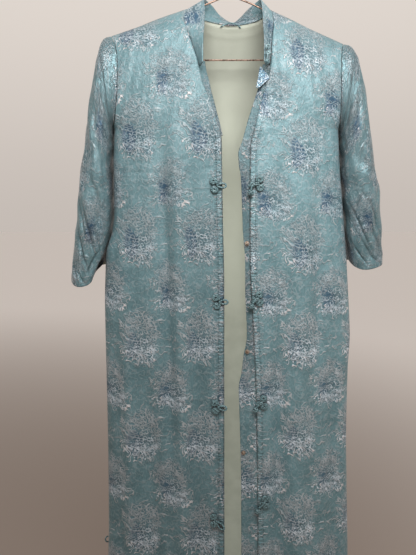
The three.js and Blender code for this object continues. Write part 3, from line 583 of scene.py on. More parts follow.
def flower(tree, x, y, seed):
    """A spider chrysanthemum round (0, 0). Masks of its fine threads, its bright threads,
    its petal tips, its blue shading, the gaps between its threads, which get painted shadow,
    and its pale haze."""
    head = patch(tree, x, y, 2.0, 20.0, 42.0, 42.0, 0.45, seed)
    heart = patch(tree, x, y, 6.0, -17.0, 30.0, 33.0, 0.4, seed + 1.0)
    curly, gap = curls(tree, x, y, 8.0, 0.75, seed + 0.7)
    blue = patch(tree, x, y, -15.0, -10.0, 15.0, 30.0, 0.4, seed + 2.0) * (gap * 0.5 + 0.5)
    bend = noise(tree, x, y, 12.0, seed + 9.1)
    angle = y.math("ARCTAN2", x)
    radius = (x * x + y * y).math("SQRT")
    spread = noise(tree, angle * 34.0 + (bend - 0.5) * 30.0, radius * 0.6, 9.0, seed + 4.4)
    fan = contours(spread, 4.0, 0.12)
    threads = curly.math("MAXIMUM", fan * 0.85)
    ends, tips = petals(tree, x, y + 6.0, 30, 56.0, 0.8, 46.0, seed + 3.1)
    rays, _ = petals(tree, x, y - 6.0, 38, 62.0, 0.75, 44.0, seed + 6.4)
    away = radius.ramp(14.0, 28.0)
    low = y.ramp(0.0, -18.0) * away
    fine = (threads * head).math("MAXIMUM", rays * away)
    bright = (threads * heart * bend.ramp(0.28, 0.56)).math("MAXIMUM", ends * low * 0.8)
    haze = heart.math("MAXIMUM", head * 0.5)
    return fine, bright, tips * low, blue, gap * haze, haze


SATIN = linear(129, 162, 170)
SATIN_DEEP = linear(92, 124, 131)
HAZE = linear(152, 184, 197)
# The colour of the gaps beside the raised threads is painted shadow.
THREAD_GAP_SHADOW = linear(52, 84, 96)
FINE_THREAD = linear(212, 212, 216)
BRIGHT_THREAD = linear(230, 240, 250)
TIP_THREAD = linear(250, 232, 228)
BLUE_THREAD = linear(10, 60, 98)
SEAM_SHADE = linear(48, 70, 80)
PITCH = 118.0                   # of the flowers across the cloth, in millimetres
# Painted shadow: the sunken part of a sleeve's cuff is darkened through this mark.
PAINTED_SHADOW_MARK = 100.0               # in a sleeve's seam layer, where the cuff sinks in


def seam_place(tree):
    """Distance from the sewn edge and height, in millimetres."""
    place = tree.nodes.new("ShaderNodeUVMap")
    place.uv_map = "seam"
    return [part * 1000.0 for part in parts_of(tree, place.outputs[0], 2)]


def puckers(tree):
    """Small gathers beside a sewn edge: (their height, where the stitches sink in)."""
    off, z = seam_place(tree)
    straight = z.ramp(-300.0, -345.0)
    band = off.ramp(15.0, 9.0) * off.ramp(-1.0, 2.0) * straight
    gather = noise(tree, off * 0.32 + z * 0.12, z, 3.6, 6.0, detail=1.0)
    stitch = (off - 10.5).math("ABSOLUTE").ramp(1.6, 0.4)
    return gather * band, stitch * straight


def brocade(name, at_u, at_v, rows, painted_light=1.0, shine=0.1, reach=0.004, painted_upper_shade=(0.0, -430.0, -120.0),
            stitched=False, painted_hollow_shadow=False):
    """Turquoise satin with woven chrysanthemums, `rows` mm apart down the cloth; at_u and at_v
    place one of them. Its brightness factor and its darkening towards the top, given as
    (amount, from, to), are painted light and painted shade, and cloth that the seam layer marks
    as sunk in gets a painted shadow."""
    material, tree, shader = new_material(name)
    u, v = cloth_place(tree)
    cloudy = noise(tree, u, v, 46.0, detail=3.0)
    grain = noise(tree, u, v * 0.5, 2.6, 3.0, detail=2.0)
    crinkle = contours(noise(tree, u, v, 13.0, 8.0), 4.0, 0.15)
    high = v.ramp(-760.0, -400.0)
    drift = noise(tree, u, v, 65.0, 31.0) - 0.5
    x, y, small, inside = nearest_flower(u + drift * 30.0, v - drift * 22.0, rows, at_u, at_v)
    fine, bright, tips, blue, gap, haze = (
        mask * inside for mask in flower(tree, x, y, small * 20.0))
    raised = (fine * 0.8).math("MAXIMUM", bright) * 1.3 + grain * 0.8 + crinkle * 0.25
    # Random clouding and grain, plus painted shade that grows towards the bottom.
    wear_and_painted_shade = cloudy.ramp(0.3, 0.7) * 0.45 + grain.ramp(0.35, 0.7) * 0.4 + (0.2 - high * 0.2)
    # Painted shadow darkens the gaps beside the threads.
    layers = [
        (wear_and_painted_shade, SATIN_DEEP), (crinkle * 0.16, FINE_THREAD), (haze * (0.46 - high * 0.14), HAZE),
        (gap * 0.62, THREAD_GAP_SHADOW), (fine * (0.6 - high * 0.24), FINE_THREAD),
        (blue * (high * 0.25 + 0.42), BLUE_THREAD), (bright * (0.88 - high * 0.46), BRIGHT_THREAD),
        (tips * 0.5, TIP_THREAD),
    ]
    if stitched:
        gather, stitch = puckers(tree)
        raised = raised + gather * 3.6 - stitch * 0.8
        layers.append((stitch * 0.16, SEAM_SHADE))
    colour = SATIN
    for mask, thread in layers:
        colour = blend_colour(tree, mask, colour, thread)
    # Painted light and shade: the cloth's brightness factor, lowered towards the top.
    lit = v.ramp(painted_upper_shade[1], painted_upper_shade[2]) * -painted_upper_shade[0] + painted_light
    # Painted shadow on the sunken cloth at the cuff.
    if painted_hollow_shadow:
        lit = lit * (seam_place(tree)[0].ramp(PAINTED_SHADOW_MARK / 4, PAINTED_SHADOW_MARK * 3 / 4) * -0.9 + 1.0)
    # How strong the painted corner shade is.
    depth = 0.85 if reach > 0.01 else 0.7
    add_bump(tree, shader, raised, 1.0, 0.001)
    give(shader, {
        "Base Color": painted_corner_shade(tree, colour, lit, reach, depth),
        "Roughness": grain * 0.14 + (0.4 - shine * 0.4), "Metallic": shine,
        "Sheen Weight": 0.1, "Sheen Roughness": 0.4, "Specular IOR Level": 0.35})
    return material


def plain_cloth(name, colour, deep, roughness):
    """Cloth of one colour with a fine weave and soft clouding, with painted light in the middle
    of the lining and painted shade below the neck."""
    material, tree, shader = new_material(name)
    u, v = cloth_place(tree)
    cloudy = noise(tree, u, v, 30.0, 2.0, detail=3.0)
    streaks = noise(tree, u * 0.15, v, 1.8, 4.0, detail=2.0)
    # Painted shade below the neck and painted light in the middle of the lining.
    neck = v.ramp(-330.0, -170.0) * v.ramp(-135.0, -150.0)
    middle = v.ramp(-680.0, -560.0) * v.ramp(-180.0, -320.0)
    light = tuple(min(1, part * 1.22) for part in colour)
    dark = tuple(part * 0.72 for part in deep[:3]) + (1.0,)
    shade = blend_colour(tree, cloudy.ramp(0.3, 0.7) * 0.6 + streaks * 0.3, colour, deep)
    shade = blend_colour(tree, middle * 0.7, shade, light)
    shade = blend_colour(tree, neck * 0.6, shade, dark)
    weave = (v * (4 * math.pi)).math("SINE") + (u * (4 * math.pi)).math("SINE")
    add_bump(tree, shader, weave * 0.3 + streaks, 0.35, 0.0002)
    give(shader, {"Base Color": shade, "Roughness": streaks * 0.15 + roughness,
                  "Sheen Weight": 0.2, "Sheen Roughness": 0.5})
    return material


def metal(name, colour, wear_and_painted_shade, roughness):
    """Bare metal with spots of wear and rust."""
    material, tree, shader = new_material(name)
    spots = tree.nodes.new("ShaderNodeTexNoise")
    give(spots, {"Scale": 260.0, "Detail": 4.0, "Vector": place_on(tree, "Object")})
    rust = Wire(tree, spots.outputs[0])
    give(shader, {"Base Color": blend_colour(tree, rust.ramp(0.42, 0.66), colour, wear_and_painted_shade),
                  "Roughness": rust * 0.3 + roughness, "Metallic": 1.0})
    return material


def cord_cloth(name, colour, deep):
    """Satin-covered cord, mottled dark at random, with painted shade in its hollows."""
    material, tree, shader = new_material(name)
    x, y, z = (part * 1000.0 for part in parts_of(tree, place_on(tree, "Object"), 3))
    grain = noise(tree, x + y, z, 2.2, 1.0, detail=3.0)
    shade = blend_colour(tree, grain.ramp(0.36, 0.62) * 0.85, colour, deep)
    add_bump(tree, shader, grain, 0.5, 0.0003)
    # Painted shade in the cord's hollows, with the brightness raised to make up for it.
    give(shader, {"Base Color": painted_corner_shade(tree, shade, 1.25, 0.012, 1.5),
                  "Roughness": 0.26, "Sheen Weight": 0.2})
    return material


# Each cloth's brightness factor and its darkening towards the top are painted light and painted
# shade, set panel by panel.
brocades = {
    "front_right": brocade("brocade_front_right", -39.6, -515.0, 181.3, painted_light=1.02,
                           painted_upper_shade=(0.08, -430.0, -120.0), stitched=True),
    "front_left": brocade("brocade_front_left", 129.0, -362.0, 168.3, painted_light=1.25,
                          painted_upper_shade=(0.33, -430.0, -110.0), stitched=True),
    "back": brocade("brocade_back", 12.0, -300.0, 174.0),
    "underlap": brocade("brocade_underlap", 36.0, -775.0, 174.0, painted_light=1.15, reach=0.0015,
                        painted_upper_shade=(0.36, -800.0, -710.0)),
    "facing": brocade("brocade_facing", 10.0, -300.0, 174.0, painted_light=0.85),
    "corner": brocade("brocade_corner", 70.0, -232.0, 174.0, painted_light=1.5, shine=0.3),
    # The sleeve's wide reach paints shade in the gap between sleeve and coat.
    "sleeve": brocade("brocade_sleeve", 30.0, -60.0, 174.0, painted_light=0.97, shine=0.3, reach=0.02,
                      painted_upper_shade=(0.12, -300.0, -200.0), painted_hollow_shadow=True),
}
lining_cloth = plain_cloth("lining_cloth", linear(184, 188, 174), linear(168, 172, 158), 0.55)
cord_satin = cord_cloth("cord_satin", linear(128, 162, 168), linear(34, 56, 62))
copper_wire = metal("copper_wire", linear(168, 142, 128), linear(92, 74, 66), 0.3)
rusty_snap = metal("rusty_snap", linear(204, 190, 176), linear(150, 122, 104), 0.4)


# ---- fronts ----------------------------------------------------------------

FRONT_ROWS, FRONT_COLUMNS = 480, 64


def row_heights(row, hand, inner_top):
    """Heights of a row of the CAD grid at its inner and outer end; row may be a fraction."""
    cap = np.clip(row / CAP_ROWS, 0, 1) ** 1.2
    body = np.clip((row - CAP_ROWS) / BODY_ROWS, 0, 1) ** 1.15
    above = row <= CAP_ROWS
    inner = np.where(above, mix(inner_top, FRONT_EDGE_Z, cap), mix(FRONT_EDGE_Z, HEM_Z, body))
    outer = np.where(above, mix(TIP_Z[hand], UNDERARM_Z, cap), mix(UNDERARM_Z, HEM_Z, body))
    return inner, outer


def even_rows(rows, hand, inner_top):
    """Rows of the CAD grid, as fractions, whose heights are evenly spaced."""
    fine = np.linspace(0, CAP_ROWS + BODY_ROWS, 4000)
    inner, outer = row_heights(fine, hand, inner_top)
    height = (inner + outer) / 2
    return np.interp(np.linspace(height[0], height[-1], rows), height[::-1], fine[::-1])


def creases_front(hand, x, z, from_edge):
    """Small shapes on a front, towards the wearer where positive."""
    seed = 11 if hand == "right" else 12
    lower = step(-200, -420, z)
    depth = 1.3 * ripple(x, z, seed, 60, 330) * (0.35 + 0.65 * lower)
    depth = depth + 0.8 * ripple(x, z, seed + 20, 24, 70)
    depth = depth + 0.35 * ripple(x, z, seed + 30, 18, 22)
    if hand == "right":
        dart = step(-198, -190, x) * step(-122, -134, x)
        depth = depth + 1.1 * dart * np.exp(-((z + 402 + 0.05 * (x + 160)) / 2.4) ** 2)
    groove = np.exp(-((from_edge - 11.0) / 2.2) ** 2)
    depth = depth + 0.8 * groove * step(-330, -350, z)
    return depth


def front_panel(hand):
    top = EDGE[hand][0][0]
    rows = even_rows(FRONT_ROWS, hand, top)[:, None]
    share = np.linspace(0, 1, FRONT_COLUMNS)[None, :]
    t = 1 - (1 - share) ** 1.7
    inner, outer = row_heights(rows, hand, top)
    x = mix(edge_x[hand](inner), side_x[hand](outer), t)
    z = mix(inner, outer, t)
    z[0] = shoulder_z[hand](x[0]) - 0.1
    from_edge = np.abs(x - edge_x[hand](inner))
    turn = step(0, 12, np.abs(side_x[hand](outer) - x))
    crease = creases_front(hand, x, z, from_edge) * turn * step(0, 30, shoulder_z[hand](x) - z)
    y = -(stand_off("front", x, z) - crease)
    points = np.stack([x, y, z], axis=2)
    uv = flat_place(points)
    return cloth_wall(f"coat_front_{hand}", points, uv, [brocades[f"front_{hand}"], lining_cloth],
                      outward=(0, -1, 0), from_seam=from_edge)


def stands_for(piece, node):
    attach(piece, "root")
    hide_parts(node)


def declare(piece, node):
    """Attaches a piece of the coat, a sheet of cloth, and hides the CAD node that it stands for."""
    stands_for(piece, node)


fronts = {hand: front_panel(hand) for hand in ("right", "left")}
declare(fronts["right"], "front_right")
declare(fronts["left"], "front_left")

# ---- back and lining -------------------------------------------------------

BACK_NECK = [(-72.5, -121.5), (-57, -127.5), (-40, -131.5), (-22, -135.2), (5, -138.6),
             (28, -137.2), (45, -134.2), (60, -129.8), (72.5, -123.4)]
neck_z = along(BACK_NECK)
BACK_GRID_ROWS, BACK_GRID_COLUMNS = 400, 100
SIDE_TURN = 0.12


def back_crease(x, z):
    return 1.5 * ripple(x, z, 31, 70, 360) + 0.6 * ripple(x, z, 32, 28, 80)


def back_panel():
    fine = even_rows(BACK_GRID_ROWS, "right", TIP_Z["right"])[:, None]
    right = row_heights(fine, "right", 0.0)[1]
    left = row_heights(fine, "left", 0.0)[1]
    fade = np.maximum(0, 1 - fine / CAP_ROWS) ** 1.5
    turn = math.pi * mix(SIDE_TURN, 1 - SIDE_TURN, np.linspace(0, 1, BACK_GRID_COLUMNS))[None, :]
    share = 0.5 - 0.5 * np.cos(turn) / math.cos(math.pi * SIDE_TURN)
    x_top = mix(side_x["right"](TIP_Z["right"]), side_x["left"](TIP_Z["left"]), share)
    over = np.where(x_top < 0, shoulder_z["right"](x_top), shoulder_z["left"](x_top))
    top = np.where(np.abs(x_top) < NECK_X, neck_z(x_top), over)
    rise = top - mix(TIP_Z["right"], TIP_Z["left"], share)
    z = mix(right, left, share) + rise * fade
    x = mix(side_x["right"](right), side_x["left"](left), share)
    from_side = np.minimum(np.abs(x - side_x["right"](right)), np.abs(x - side_x["left"](left)))
    y = stand_off("back", x, z) - back_crease(x, z) * step(0, 14, from_side) * step(0, 40, top - z)
    points = np.stack([x, y, z], axis=2)
    uv = flat_place(points)
    return cloth_wall("coat_back", points, uv, [brocades["back"], lining_cloth], outward=(0, 1, 0))


declare(back_panel(), "back")

LINING_NECK, LINING_DROP, LINING_LIFT = 60.0, 4.0, 18.0
LINING_CLEAR = 1.8              # kept between the middles of the lining and of the back
lining_inset = along([(-118, 5.5), (-170, 4), (-300, 3.6), (-560, 11), (HEM_Z, 13)])
lining_spread = along([(-118, LINING_NECK), (-190, 118), (-260, 150), (-330, 168),
                       (-560, 186), (HEM_Z, 206)])


def lining_panel():
    t = np.linspace(0, 1, 360)[:, None]
    c = np.linspace(-1, 1, 90)[None, :]
    top = neck_z(LINING_NECK * c + 1) - LINING_DROP
    z = mix(top, HEM_Z + LINING_LIFT, t)
    x = mix(LINING_NECK, lining_spread(z), np.minimum(1, t * 9)) * c + 1
    crease = 1.6 * ripple(x, z, 51, 90, 420) + 0.7 * ripple(x, z, 52, 34, 120)
    band = np.exp(-(((top - z) - 16) / 3.5) ** 2)
    y = plain_stand_off("back", x, z) - lining_inset(z) - (crease * step(0, 60, top - z) + band)
    y = np.minimum(y, stand_off("back", x, z) - np.maximum(back_crease(x, z), 0) - LINING_CLEAR)
    points = np.stack([x, y, z], axis=2)
    uv = flat_place(points)
    return cloth_wall("coat_lining", points, uv, [lining_cloth, lining_cloth], thickness=0.8,
                      outward=(0, -1, 0))


declare(lining_panel(), "lining_back")

# ---- sleeves ---------------------------------------------------------------

# Sections down each sleeve: (outer x, outer z, inner x, inner z, depth of the front, depth of
# the back, drop of the front, drop of the back)
SLEEVE = {
    "right": [
        (-215.5, -171.5, -203.4, -330, 31, 27, 0, 0), (-223, -186, -203.8, -334, 35, 31, 0, 0),
        (-227.8, -208, -204.3, -340, 38, 34, 0, 0), (-234.5, -248, -205, -351, 42, 38, 0, 0),
        (-243, -290, -206, -368, 44, 41, 0, 0), (-251, -337, -207, -392, 45, 43, 2, 0),
        (-259, -386, -207.4, -420, 46, 44, 2, 0), (-265.6, -430, -207.8, -445, 46, 44, 3, 0),
        (-270.5, -471, -210, -475, 46, 44, 6, 0), (-275, -506, -214.5, -500, 46, 44, 11, 1),
        (-278.6, -536, -219, -522, 45, 43, 18, 2), (-281.5, -560, -223.5, -542, 44, 42, 24, 3),
        (-283.5, -581, -228, -560, 43, 41, 30, 4),
    ],
    "left": [
        (211, -184, 196, -330, 31, 27, 0, 0), (219.5, -197, 196.8, -334, 35, 31, 0, 0),
        (226, -216, 197.8, -340, 38, 34, 0, 0), (234, -248, 199, -351, 42, 38, 0, 0),
        (242, -290, 200.6, -368, 44, 41, 0, 0), (249.5, -337, 202.4, -390, 45, 43, 2, 0),
        (257.5, -385, 204.8, -416, 46, 44, 2, 0), (266, -421, 207.4, -440, 46, 44, 3, 0),
        (271.5, -456, 210, -466, 46, 44, 3, 0), (274.5, -492, 212.5, -490, 46, 44, 4, 0),
        (276, -520, 215, -514, 45, 43, 7, 0), (277.5, -542, 218.5, -536, 44, 42, 9, 1),
        (278.8, -560, 223, -556, 43, 41, 11, 2),
    ],
}
# (place round the sleeve, section, slant, width, depth) of the folds at the elbow
ELBOW = [(0.20, 9.2, 9, 0.8, 3.5), (0.24, 10.8, 8, 0.7, 3), (0.72, 9.6, -9, 0.8, 3.5)]
# (place, section, slant, width, length round the sleeve, depth) of its finer creases
SLEEVE_CREASES = {
    "right": [
        (0.17, 8.1, 14, 0.2, 0.07, 3.0), (0.27, 9.0, 16, 0.18, 0.08, 3.4),
        (0.2, 9.7, 15, 0.16, 0.07, 3.4), (0.32, 10.4, -12, 0.18, 0.06, 2.6),
        (0.14, 10.9, 12, 0.15, 0.06, 2.4), (0.3, 7.0, 11, 0.3, 0.08, 2.4),
        (0.22, 11.4, 10, 0.14, 0.08, 2.2), (0.36, 9.6, 18, 0.16, 0.05, 2.2),
        (0.22, 5.2, -9, 0.4, 0.07, 1.8), (0.7, 9.4, -14, 0.24, 0.1, 2.6),
        (0.8, 10.4, -12, 0.2, 0.08, 2.4),
    ],
    "left": [
        (0.2, 8.3, -15, 0.18, 0.07, 3.2), (0.3, 9.3, -17, 0.18, 0.08, 3.4),
        (0.17, 9.9, -14, 0.15, 0.07, 3.2), (0.26, 10.5, -13, 0.16, 0.07, 3.0),
        (0.34, 10.9, -12, 0.14, 0.06, 2.4), (0.12, 7.2, 10, 0.3, 0.06, 2.2),
        (0.33, 7.6, 12, 0.24, 0.06, 2.6), (0.2, 11.3, -9, 0.13, 0.07, 2.2),
        (0.24, 5.6, -8, 0.4, 0.07, 1.8), (0.72, 9.0, 14, 0.24, 0.1, 2.6),
        (0.8, 10.3, 12, 0.2, 0.08, 2.4),
    ],
}
SLEEVE_AROUND, SLEEVE_DOWN, SLEEVE_SQUARE = 112, 190, 2.3
SLEEVE_GIRTH, SECTION_LENGTH = 290, 34.0    # of the flat cloth, in millimetres
ELBOW_REACH = 0.13                          # of an elbow fold, round the sleeve
CUFF_LEAN = {"right": 0.2, "left": 0.8}
TUCK_BEHIND = {"right": 7.0, "left": 3.0}   # the back of the sleeve closes in beside the coat
CUFF_PINCH = {"right": 4.0, "left": 2.0}    # the front of the cuff stands away from it
# (z, x) of the line along which the right cuff folds back, as the camera sees it on the
# hanger's plane
CUFF_FOLD = [(-460, -203), (-494.5, -210.4), (-518, -217.5), (-543, -227.6), (-568, -241.3),
             (-607, -256)]


def signed_power(value, power):
    return np.sign(value) * np.abs(value) ** power


def sleeve_rings(hand, turn):
    """The armhole, and then a squarish ring at each section of the sleeve."""
    outward = -1 if hand == "right" else 1
    middle, half = (TIP_Z[hand] + UNDERARM_Z) / 2, (TIP_Z[hand] - UNDERARM_Z) / 2
    z = middle + half * np.cos(turn)
    x = side_x[hand](z)
    sine = np.sin(turn)
    y = np.where(sine > 1e-6, -stand_off("front", x, z),
                 np.where(sine < -1e-6, stand_off("back", x, z), 0.0))
    low = np.maximum(0, -np.cos(turn)) ** 3
    rings = [np.stack([x + outward * (1.0 + 1.6 * low), y, z + 1.5 * low], axis=1)]
    cosine = signed_power(np.cos(turn), 2 / SLEEVE_SQUARE)
    sine = signed_power(np.sin(turn), 2 / SLEEVE_SQUARE)
    lean = 1 - CUFF_LEAN[hand] * cosine
    place = (1 + cosine) / 2
    for outer_x, outer_z, inner_x, inner_z, front, back, drop, back_drop in SLEEVE[hand]:
        depth = np.where(sine > 0, front, back)
        lower = np.where(sine > 0, drop * sine * lean, -back_drop * sine)
        rings.append(np.stack([mix(inner_x, outer_x, place), -depth * sine,
                               mix(inner_z, outer_z, place) - lower], axis=1))
    return np.array(rings)


def sleeve_creases(hand, share, level):
    """How far a place on a sleeve sinks in."""
    turn = 2 * math.pi * share
    number = level - 1

    def crease(at, section, slant, width, length):
        line = np.exp(-((number - section - slant * (share - at)) / width) ** 2)
        return line * np.exp(-((share - at) / length) ** 2)

    folds = sum(depth * crease(at, section, slant, width, ELBOW_REACH)
                for at, section, slant, width, depth in ELBOW)
    seed = 61 if hand == "right" else 64
    down = SECTION_LENGTH * level
    soft = 1.1 * ripple(np.cos(turn) * 60 + 0.3 * down, down, seed, 60, 120)
    soft = soft + 1.0 * ripple(np.sin(turn) * 60 - 0.4 * down, down, seed + 1, 50, 90)
    for *where, depth in SLEEVE_CREASES[hand]:
        soft = soft + depth * crease(*where)
    loose = step(0.3, 2.5, number) * (1 - 0.6 * step(11.4, 12.0, number))
    return folds + 1.4 * soft * loose


def sleeve_panel(hand):
    outward = -1 if hand == "right" else 1
    share = np.arange(SLEEVE_AROUND) / SLEEVE_AROUND
    rings = sleeve_rings(hand, 2 * math.pi * share)
    level = np.linspace(0, len(rings) - 1, SLEEVE_DOWN)[:, None]
    points = np.stack([smooth_path(rings[:, column], SLEEVE_DOWN)
                       for column in range(SLEEVE_AROUND)], axis=1)
    normal = grid_normals(points, True)
    if np.dot(normal[SLEEVE_DOWN // 2, 0], (outward, 0, 0)) < 0:
        normal = -normal
    points -= normal * sleeve_creases(hand, share[None, :], level)[:, :, None]
    number = level - 1
    tucked = np.exp(-((share - 0.6) / 0.07) ** 2) * step(6.5, 9.0, number)
    points[:, :, 0] -= outward * TUCK_BEHIND[hand] * tucked
    pinched = np.exp(-((share - 0.38) / 0.08) ** 2) * step(9.5, 12.0, number)
    points[:, :, 0] += outward * CUFF_PINCH[hand] * pinched
    near = CAMERA_AT[1] / (CAMERA_AT[1] - points[:, :, 1])
    across, height = (CAMERA_AT[k] + (points[:, :, k] - CAMERA_AT[k]) * near for k in (0, 2))
    past = across - along(CUFF_FOLD)(height)
    sunk = step(0.0, 2.5, past) * step(-494.0, -514.0, height) * (share > 0.25) * (share < 0.68)
    sunk = sunk * (hand == "right")
    folded = np.maximum(0, past) * sunk * step(0.5, 0.42, share) * step(-505.0, -530.0, height)
    points[:, :, 0] -= folded
    points[:, :, 1] += 1.1 * folded
    spots = np.linspace(0, 1, SLEEVE_AROUND + 1)[None, :]
    uv = np.stack(np.broadcast_arrays(SLEEVE_GIRTH * spots, -SECTION_LENGTH * level), axis=2)
    # The seam layer marks the sunk cloth, which the sleeve's cloth darkens as a painted shadow.
    return cloth_wall(f"coat_sleeve_{hand}", points, uv, [brocades["sleeve"], lining_cloth],
                      round_it=True, outward=(outward, 0, 0), from_seam=PAINTED_SHADOW_MARK * sunk)


for side in ("right", "left"):
    declare(sleeve_panel(side), f"sleeve_{side}")

# ---- collar ----------------------------------------------------------------

# (seam x, seam z, edge x, edge y, edge z, face that carries the seam)
COLLAR = [
    (-49.3, -227, -44.8, -58.5, -227, "front"), (-63, -183, -44, -49, -187, "front"),
    (-70.6, -159, -42, -33, -157, "front"), (-73.8, -139, -41.5, -19, -130, "front"),
    (-70.5, -121, -42, -2, -105.5, "seam"), (-57, -125.6, -37, 13, -102.5, "back"),
    (-40, -129.7, -28, 27, -105, "back"), (-22, -133.4, -14, 37, -117, "back"),
    (5, -136.8, 8, 45, -126, "back"), (28, -135.4, 22, 38, -120.5, "back"),
    (45, -132.4, 36, 26, -110, "back"), (59.5, -127.8, 50, 12, -103.5, "back"),
    (70.5, -122, 55, -2, -106, "seam"), (72.6, -140, 56, -21, -128, "front"),
    (72.3, -160, 56, -35, -155, "front"), (70, -183, 57, -47, -185, "front"),
    (66.6, -224, 56.6, -56, -226, "front"),
]
COLLAR_LENGTH, COLLAR_HEIGHT = 340, 30


def collar_panel():
    seam, edge = [], []
    for x, z, rim_x, rim_y, rim_z, face in COLLAR:
        y = {"front": -float(stand_off("front", x, z)), "back": float(stand_off("back", x, z)),
             "seam": 0.0}[face]
        seam.append((x, y, z))
        edge.append((rim_x, rim_y, rim_z))
    columns = 200
    seam, edge = smooth_path(seam, columns), smooth_path(edge, columns)
    t = mix(-0.1, 1, np.linspace(0, 1, 18))[:, None, None]
    points = mix(seam[None], edge[None], t)
    normal = grid_normals(points, False)
    length = COLLAR_LENGTH * np.linspace(0, 1, columns)[None, :]
    rise = COLLAR_HEIGHT * t[:, :, 0]
    wave = 0.5 * ripple(length, rise, 71, 40, 60) * np.sin(math.pi * t[:, :, 0])
    stitch = 0.35 * np.exp(-((rise - 26) / 1.2) ** 2)
    points = points + normal * (wave + stitch)[:, :, None]
    uv = np.stack(np.broadcast_arrays(length, rise - 400), axis=2)
    return cloth_wall("coat_collar", points, uv, [brocades["back"], brocades["back"]], thickness=1.8)


declare(collar_panel(), "collar")

# ---- strips on the front edges --------------------------------------------

def strip_panel(name, hand, free_edge, top, bottom, rows, columns, tuck, material, seed):
    free = along(free_edge)
    inside = 1 if hand == "right" else -1
    z = np.linspace(top, bottom, rows)[:, None]
    t = np.linspace(0, 1, columns)[None, :]
    start = edge_x[hand](z) - inside * TUCKED_UNDER
    base = -stand_off("front", edge_x[hand](z), z)
    x = mix(start, free(z), t)
    wave = 0.4 * ripple(x * 0.3, z, seed, 60, 16, waves=9) * np.sin(math.pi * t)
    y = base + tuck(z) * t + 1.75 + wave
    points = np.stack(np.broadcast_arrays(x, y, z), axis=2)
    uv = np.stack([np.abs(x - start), np.broadcast_to(z, x.shape)], axis=2)
    return cloth_wall(name, points, uv, [material, material], thickness=1.4, outward=(0, -1, 0),
                      from_seam=np.abs(x - free(z)))


def roll_tuck(z):
    return mix(13, 2, np.clip((z + 215) / -125, 0, 1))


def underlap_tuck(z):
    return mix(7, 1.5, np.clip((z + 255) / -130, 0, 1))


facing = strip_panel("coat_facing", "right", ROLLED_EDGE, -214, -342, 60, 12, roll_tuck,
                     brocades["facing"], 81)
declare(facing, "facing_right")
underlap = strip_panel("coat_underlap", "left", UNDERLAP_EDGE, -222, HEM_Z, 460, 16, underlap_tuck,
                       brocades["underlap"], 82)
declare(underlap, "underlap_left")


def corner_panel():
    lie = -float(stand_off("front", 68, -248)) - 1 - 1.05
    top, point, low = (np.array(p, float) for p in
                       ((51, lie + 1, -229), (68, lie, -248), (44.5, lie + 1, -264)))
    count = 17
    t = np.linspace(0, 1, count)[:, None, None]
    across = np.linspace(0, 1, count)[None, :, None]
    near = mix(top, low, t)
    width = 1 - np.abs(2 * t - 1.08) / 1.08
    reach = (point - mix(top, low, 0.54)) * (0.06 + 0.94 * width)
    points = near + reach * across
    uv = points[:, :, [0, 2]]
    return cloth_wall("coat_turned_corner", points, uv, [brocades["corner"], brocades["corner"]],
                      thickness=1.2, outward=(0, -1, 0))


declare(corner_panel(), "underlap_corner")

# ---- frogs -----------------------------------------------------------------

CORD = 1.9                      # radius of the satin cord


def panel_y(hand, x, z):
    """Front surface of a front at a place, kept just inside its edge."""
    edge = edge_x[hand](z)
    x = np.minimum(x, edge - 1.2) if hand == "right" else np.maximum(x, edge + 1.2)
    return -stand_off("front", x, z) - WALL / 2


def coil_path(x, z, radius, turn_from, turns, sense):
    """A flat spiral of cord, from its rim inwards, as (x, z, lift) rows."""
    t = np.linspace(0, 1, int(26 * turns))
    angle = turn_from + sense * 2 * math.pi * turns * t
    r = mix(radius - CORD, CORD * 0.75, t ** 0.9)
    return np.stack([x + r * np.cos(angle), z + r * np.sin(angle), 0.7 * t], axis=1)


def lay_on(hand, flat, lift=0.0):
    """Puts (x, z, lift) rows on a front, as points in space."""
    y = panel_y(hand, flat[:, 0], flat[:, 1]) - CORD - 0.35 - flat[:, 2] - lift
    return np.stack([flat[:, 0], y, flat[:, 1]], axis=1)


def knot_parts(centre, radius):
    """A ball knot: interlaced rings of cord over a core."""
    parts = []
    ring = np.linspace(0, 2 * math.pi, 30, endpoint=False)
    for tilt, swing in ((0.0, 0.35), (1.05, 0.2), (2.1, 0.5), (1.57, 1.3)):
        circle = np.stack([np.cos(ring), np.sin(ring) * 0.96, 0.22 * np.sin(2 * ring)], axis=1)
        c, s = math.cos(tilt), math.sin(tilt)
        circle = circle @ np.array([[c, 0, s], [0, 1, 0], [-s, 0, c]])
        c, s = math.cos(swing), math.sin(swing)
        circle = circle @ np.array([[1, 0, 0], [0, c, s], [0, -s, c]])
        parts.append(tube_mesh(centre + circle * (radius - 1.35), 1.45, 8, closed=True))
    core = np.array([(0, 0, radius * place) for place in (-0.6, -0.3, 0.3, 0.6)])
    parts.append(tube_mesh(core + centre, [radius * k for k in (0.3, 0.62, 0.62, 0.3)], 10))
    return parts


def tube_piece(name, parts, node, material):
    """A piece made of tubes, which stands for one CAD node."""
    points, faces = join_parts(parts)
    piece = link_mesh(name, points, faces)
    piece.data.materials.append(material)
    stands_for(piece, node)


# (x, z) of the upper coil and of the loop's tip
LOOP_FROGS = [(-26.8, -418.6, -10.5, -426), (-22.6, -619.4, -6.5, -626),
              (-24.0, -809.6, -8.0, -818), (-26.6, -1025.6, -10.5, -1044)]
# (x, z) of the upper coil, of the leaf and of the knot
KNOT_FROGS = [(52.4, -415.6, 39.4, -424, 36.2, -438), (53.8, -614, 45.2, -622.5, 39.4, -633.5),
              (63.6, -801.6, 54.4, -810, 49, -821), (69.8, -990.6, 62.4, -999.5, 54.2, -1012)]
COIL, COIL_TURNS = 8.0, 2.2
PAIR_DROP = 13                  # from a frog's upper coil to its lower one
NECK_FROG_Y = -56.5


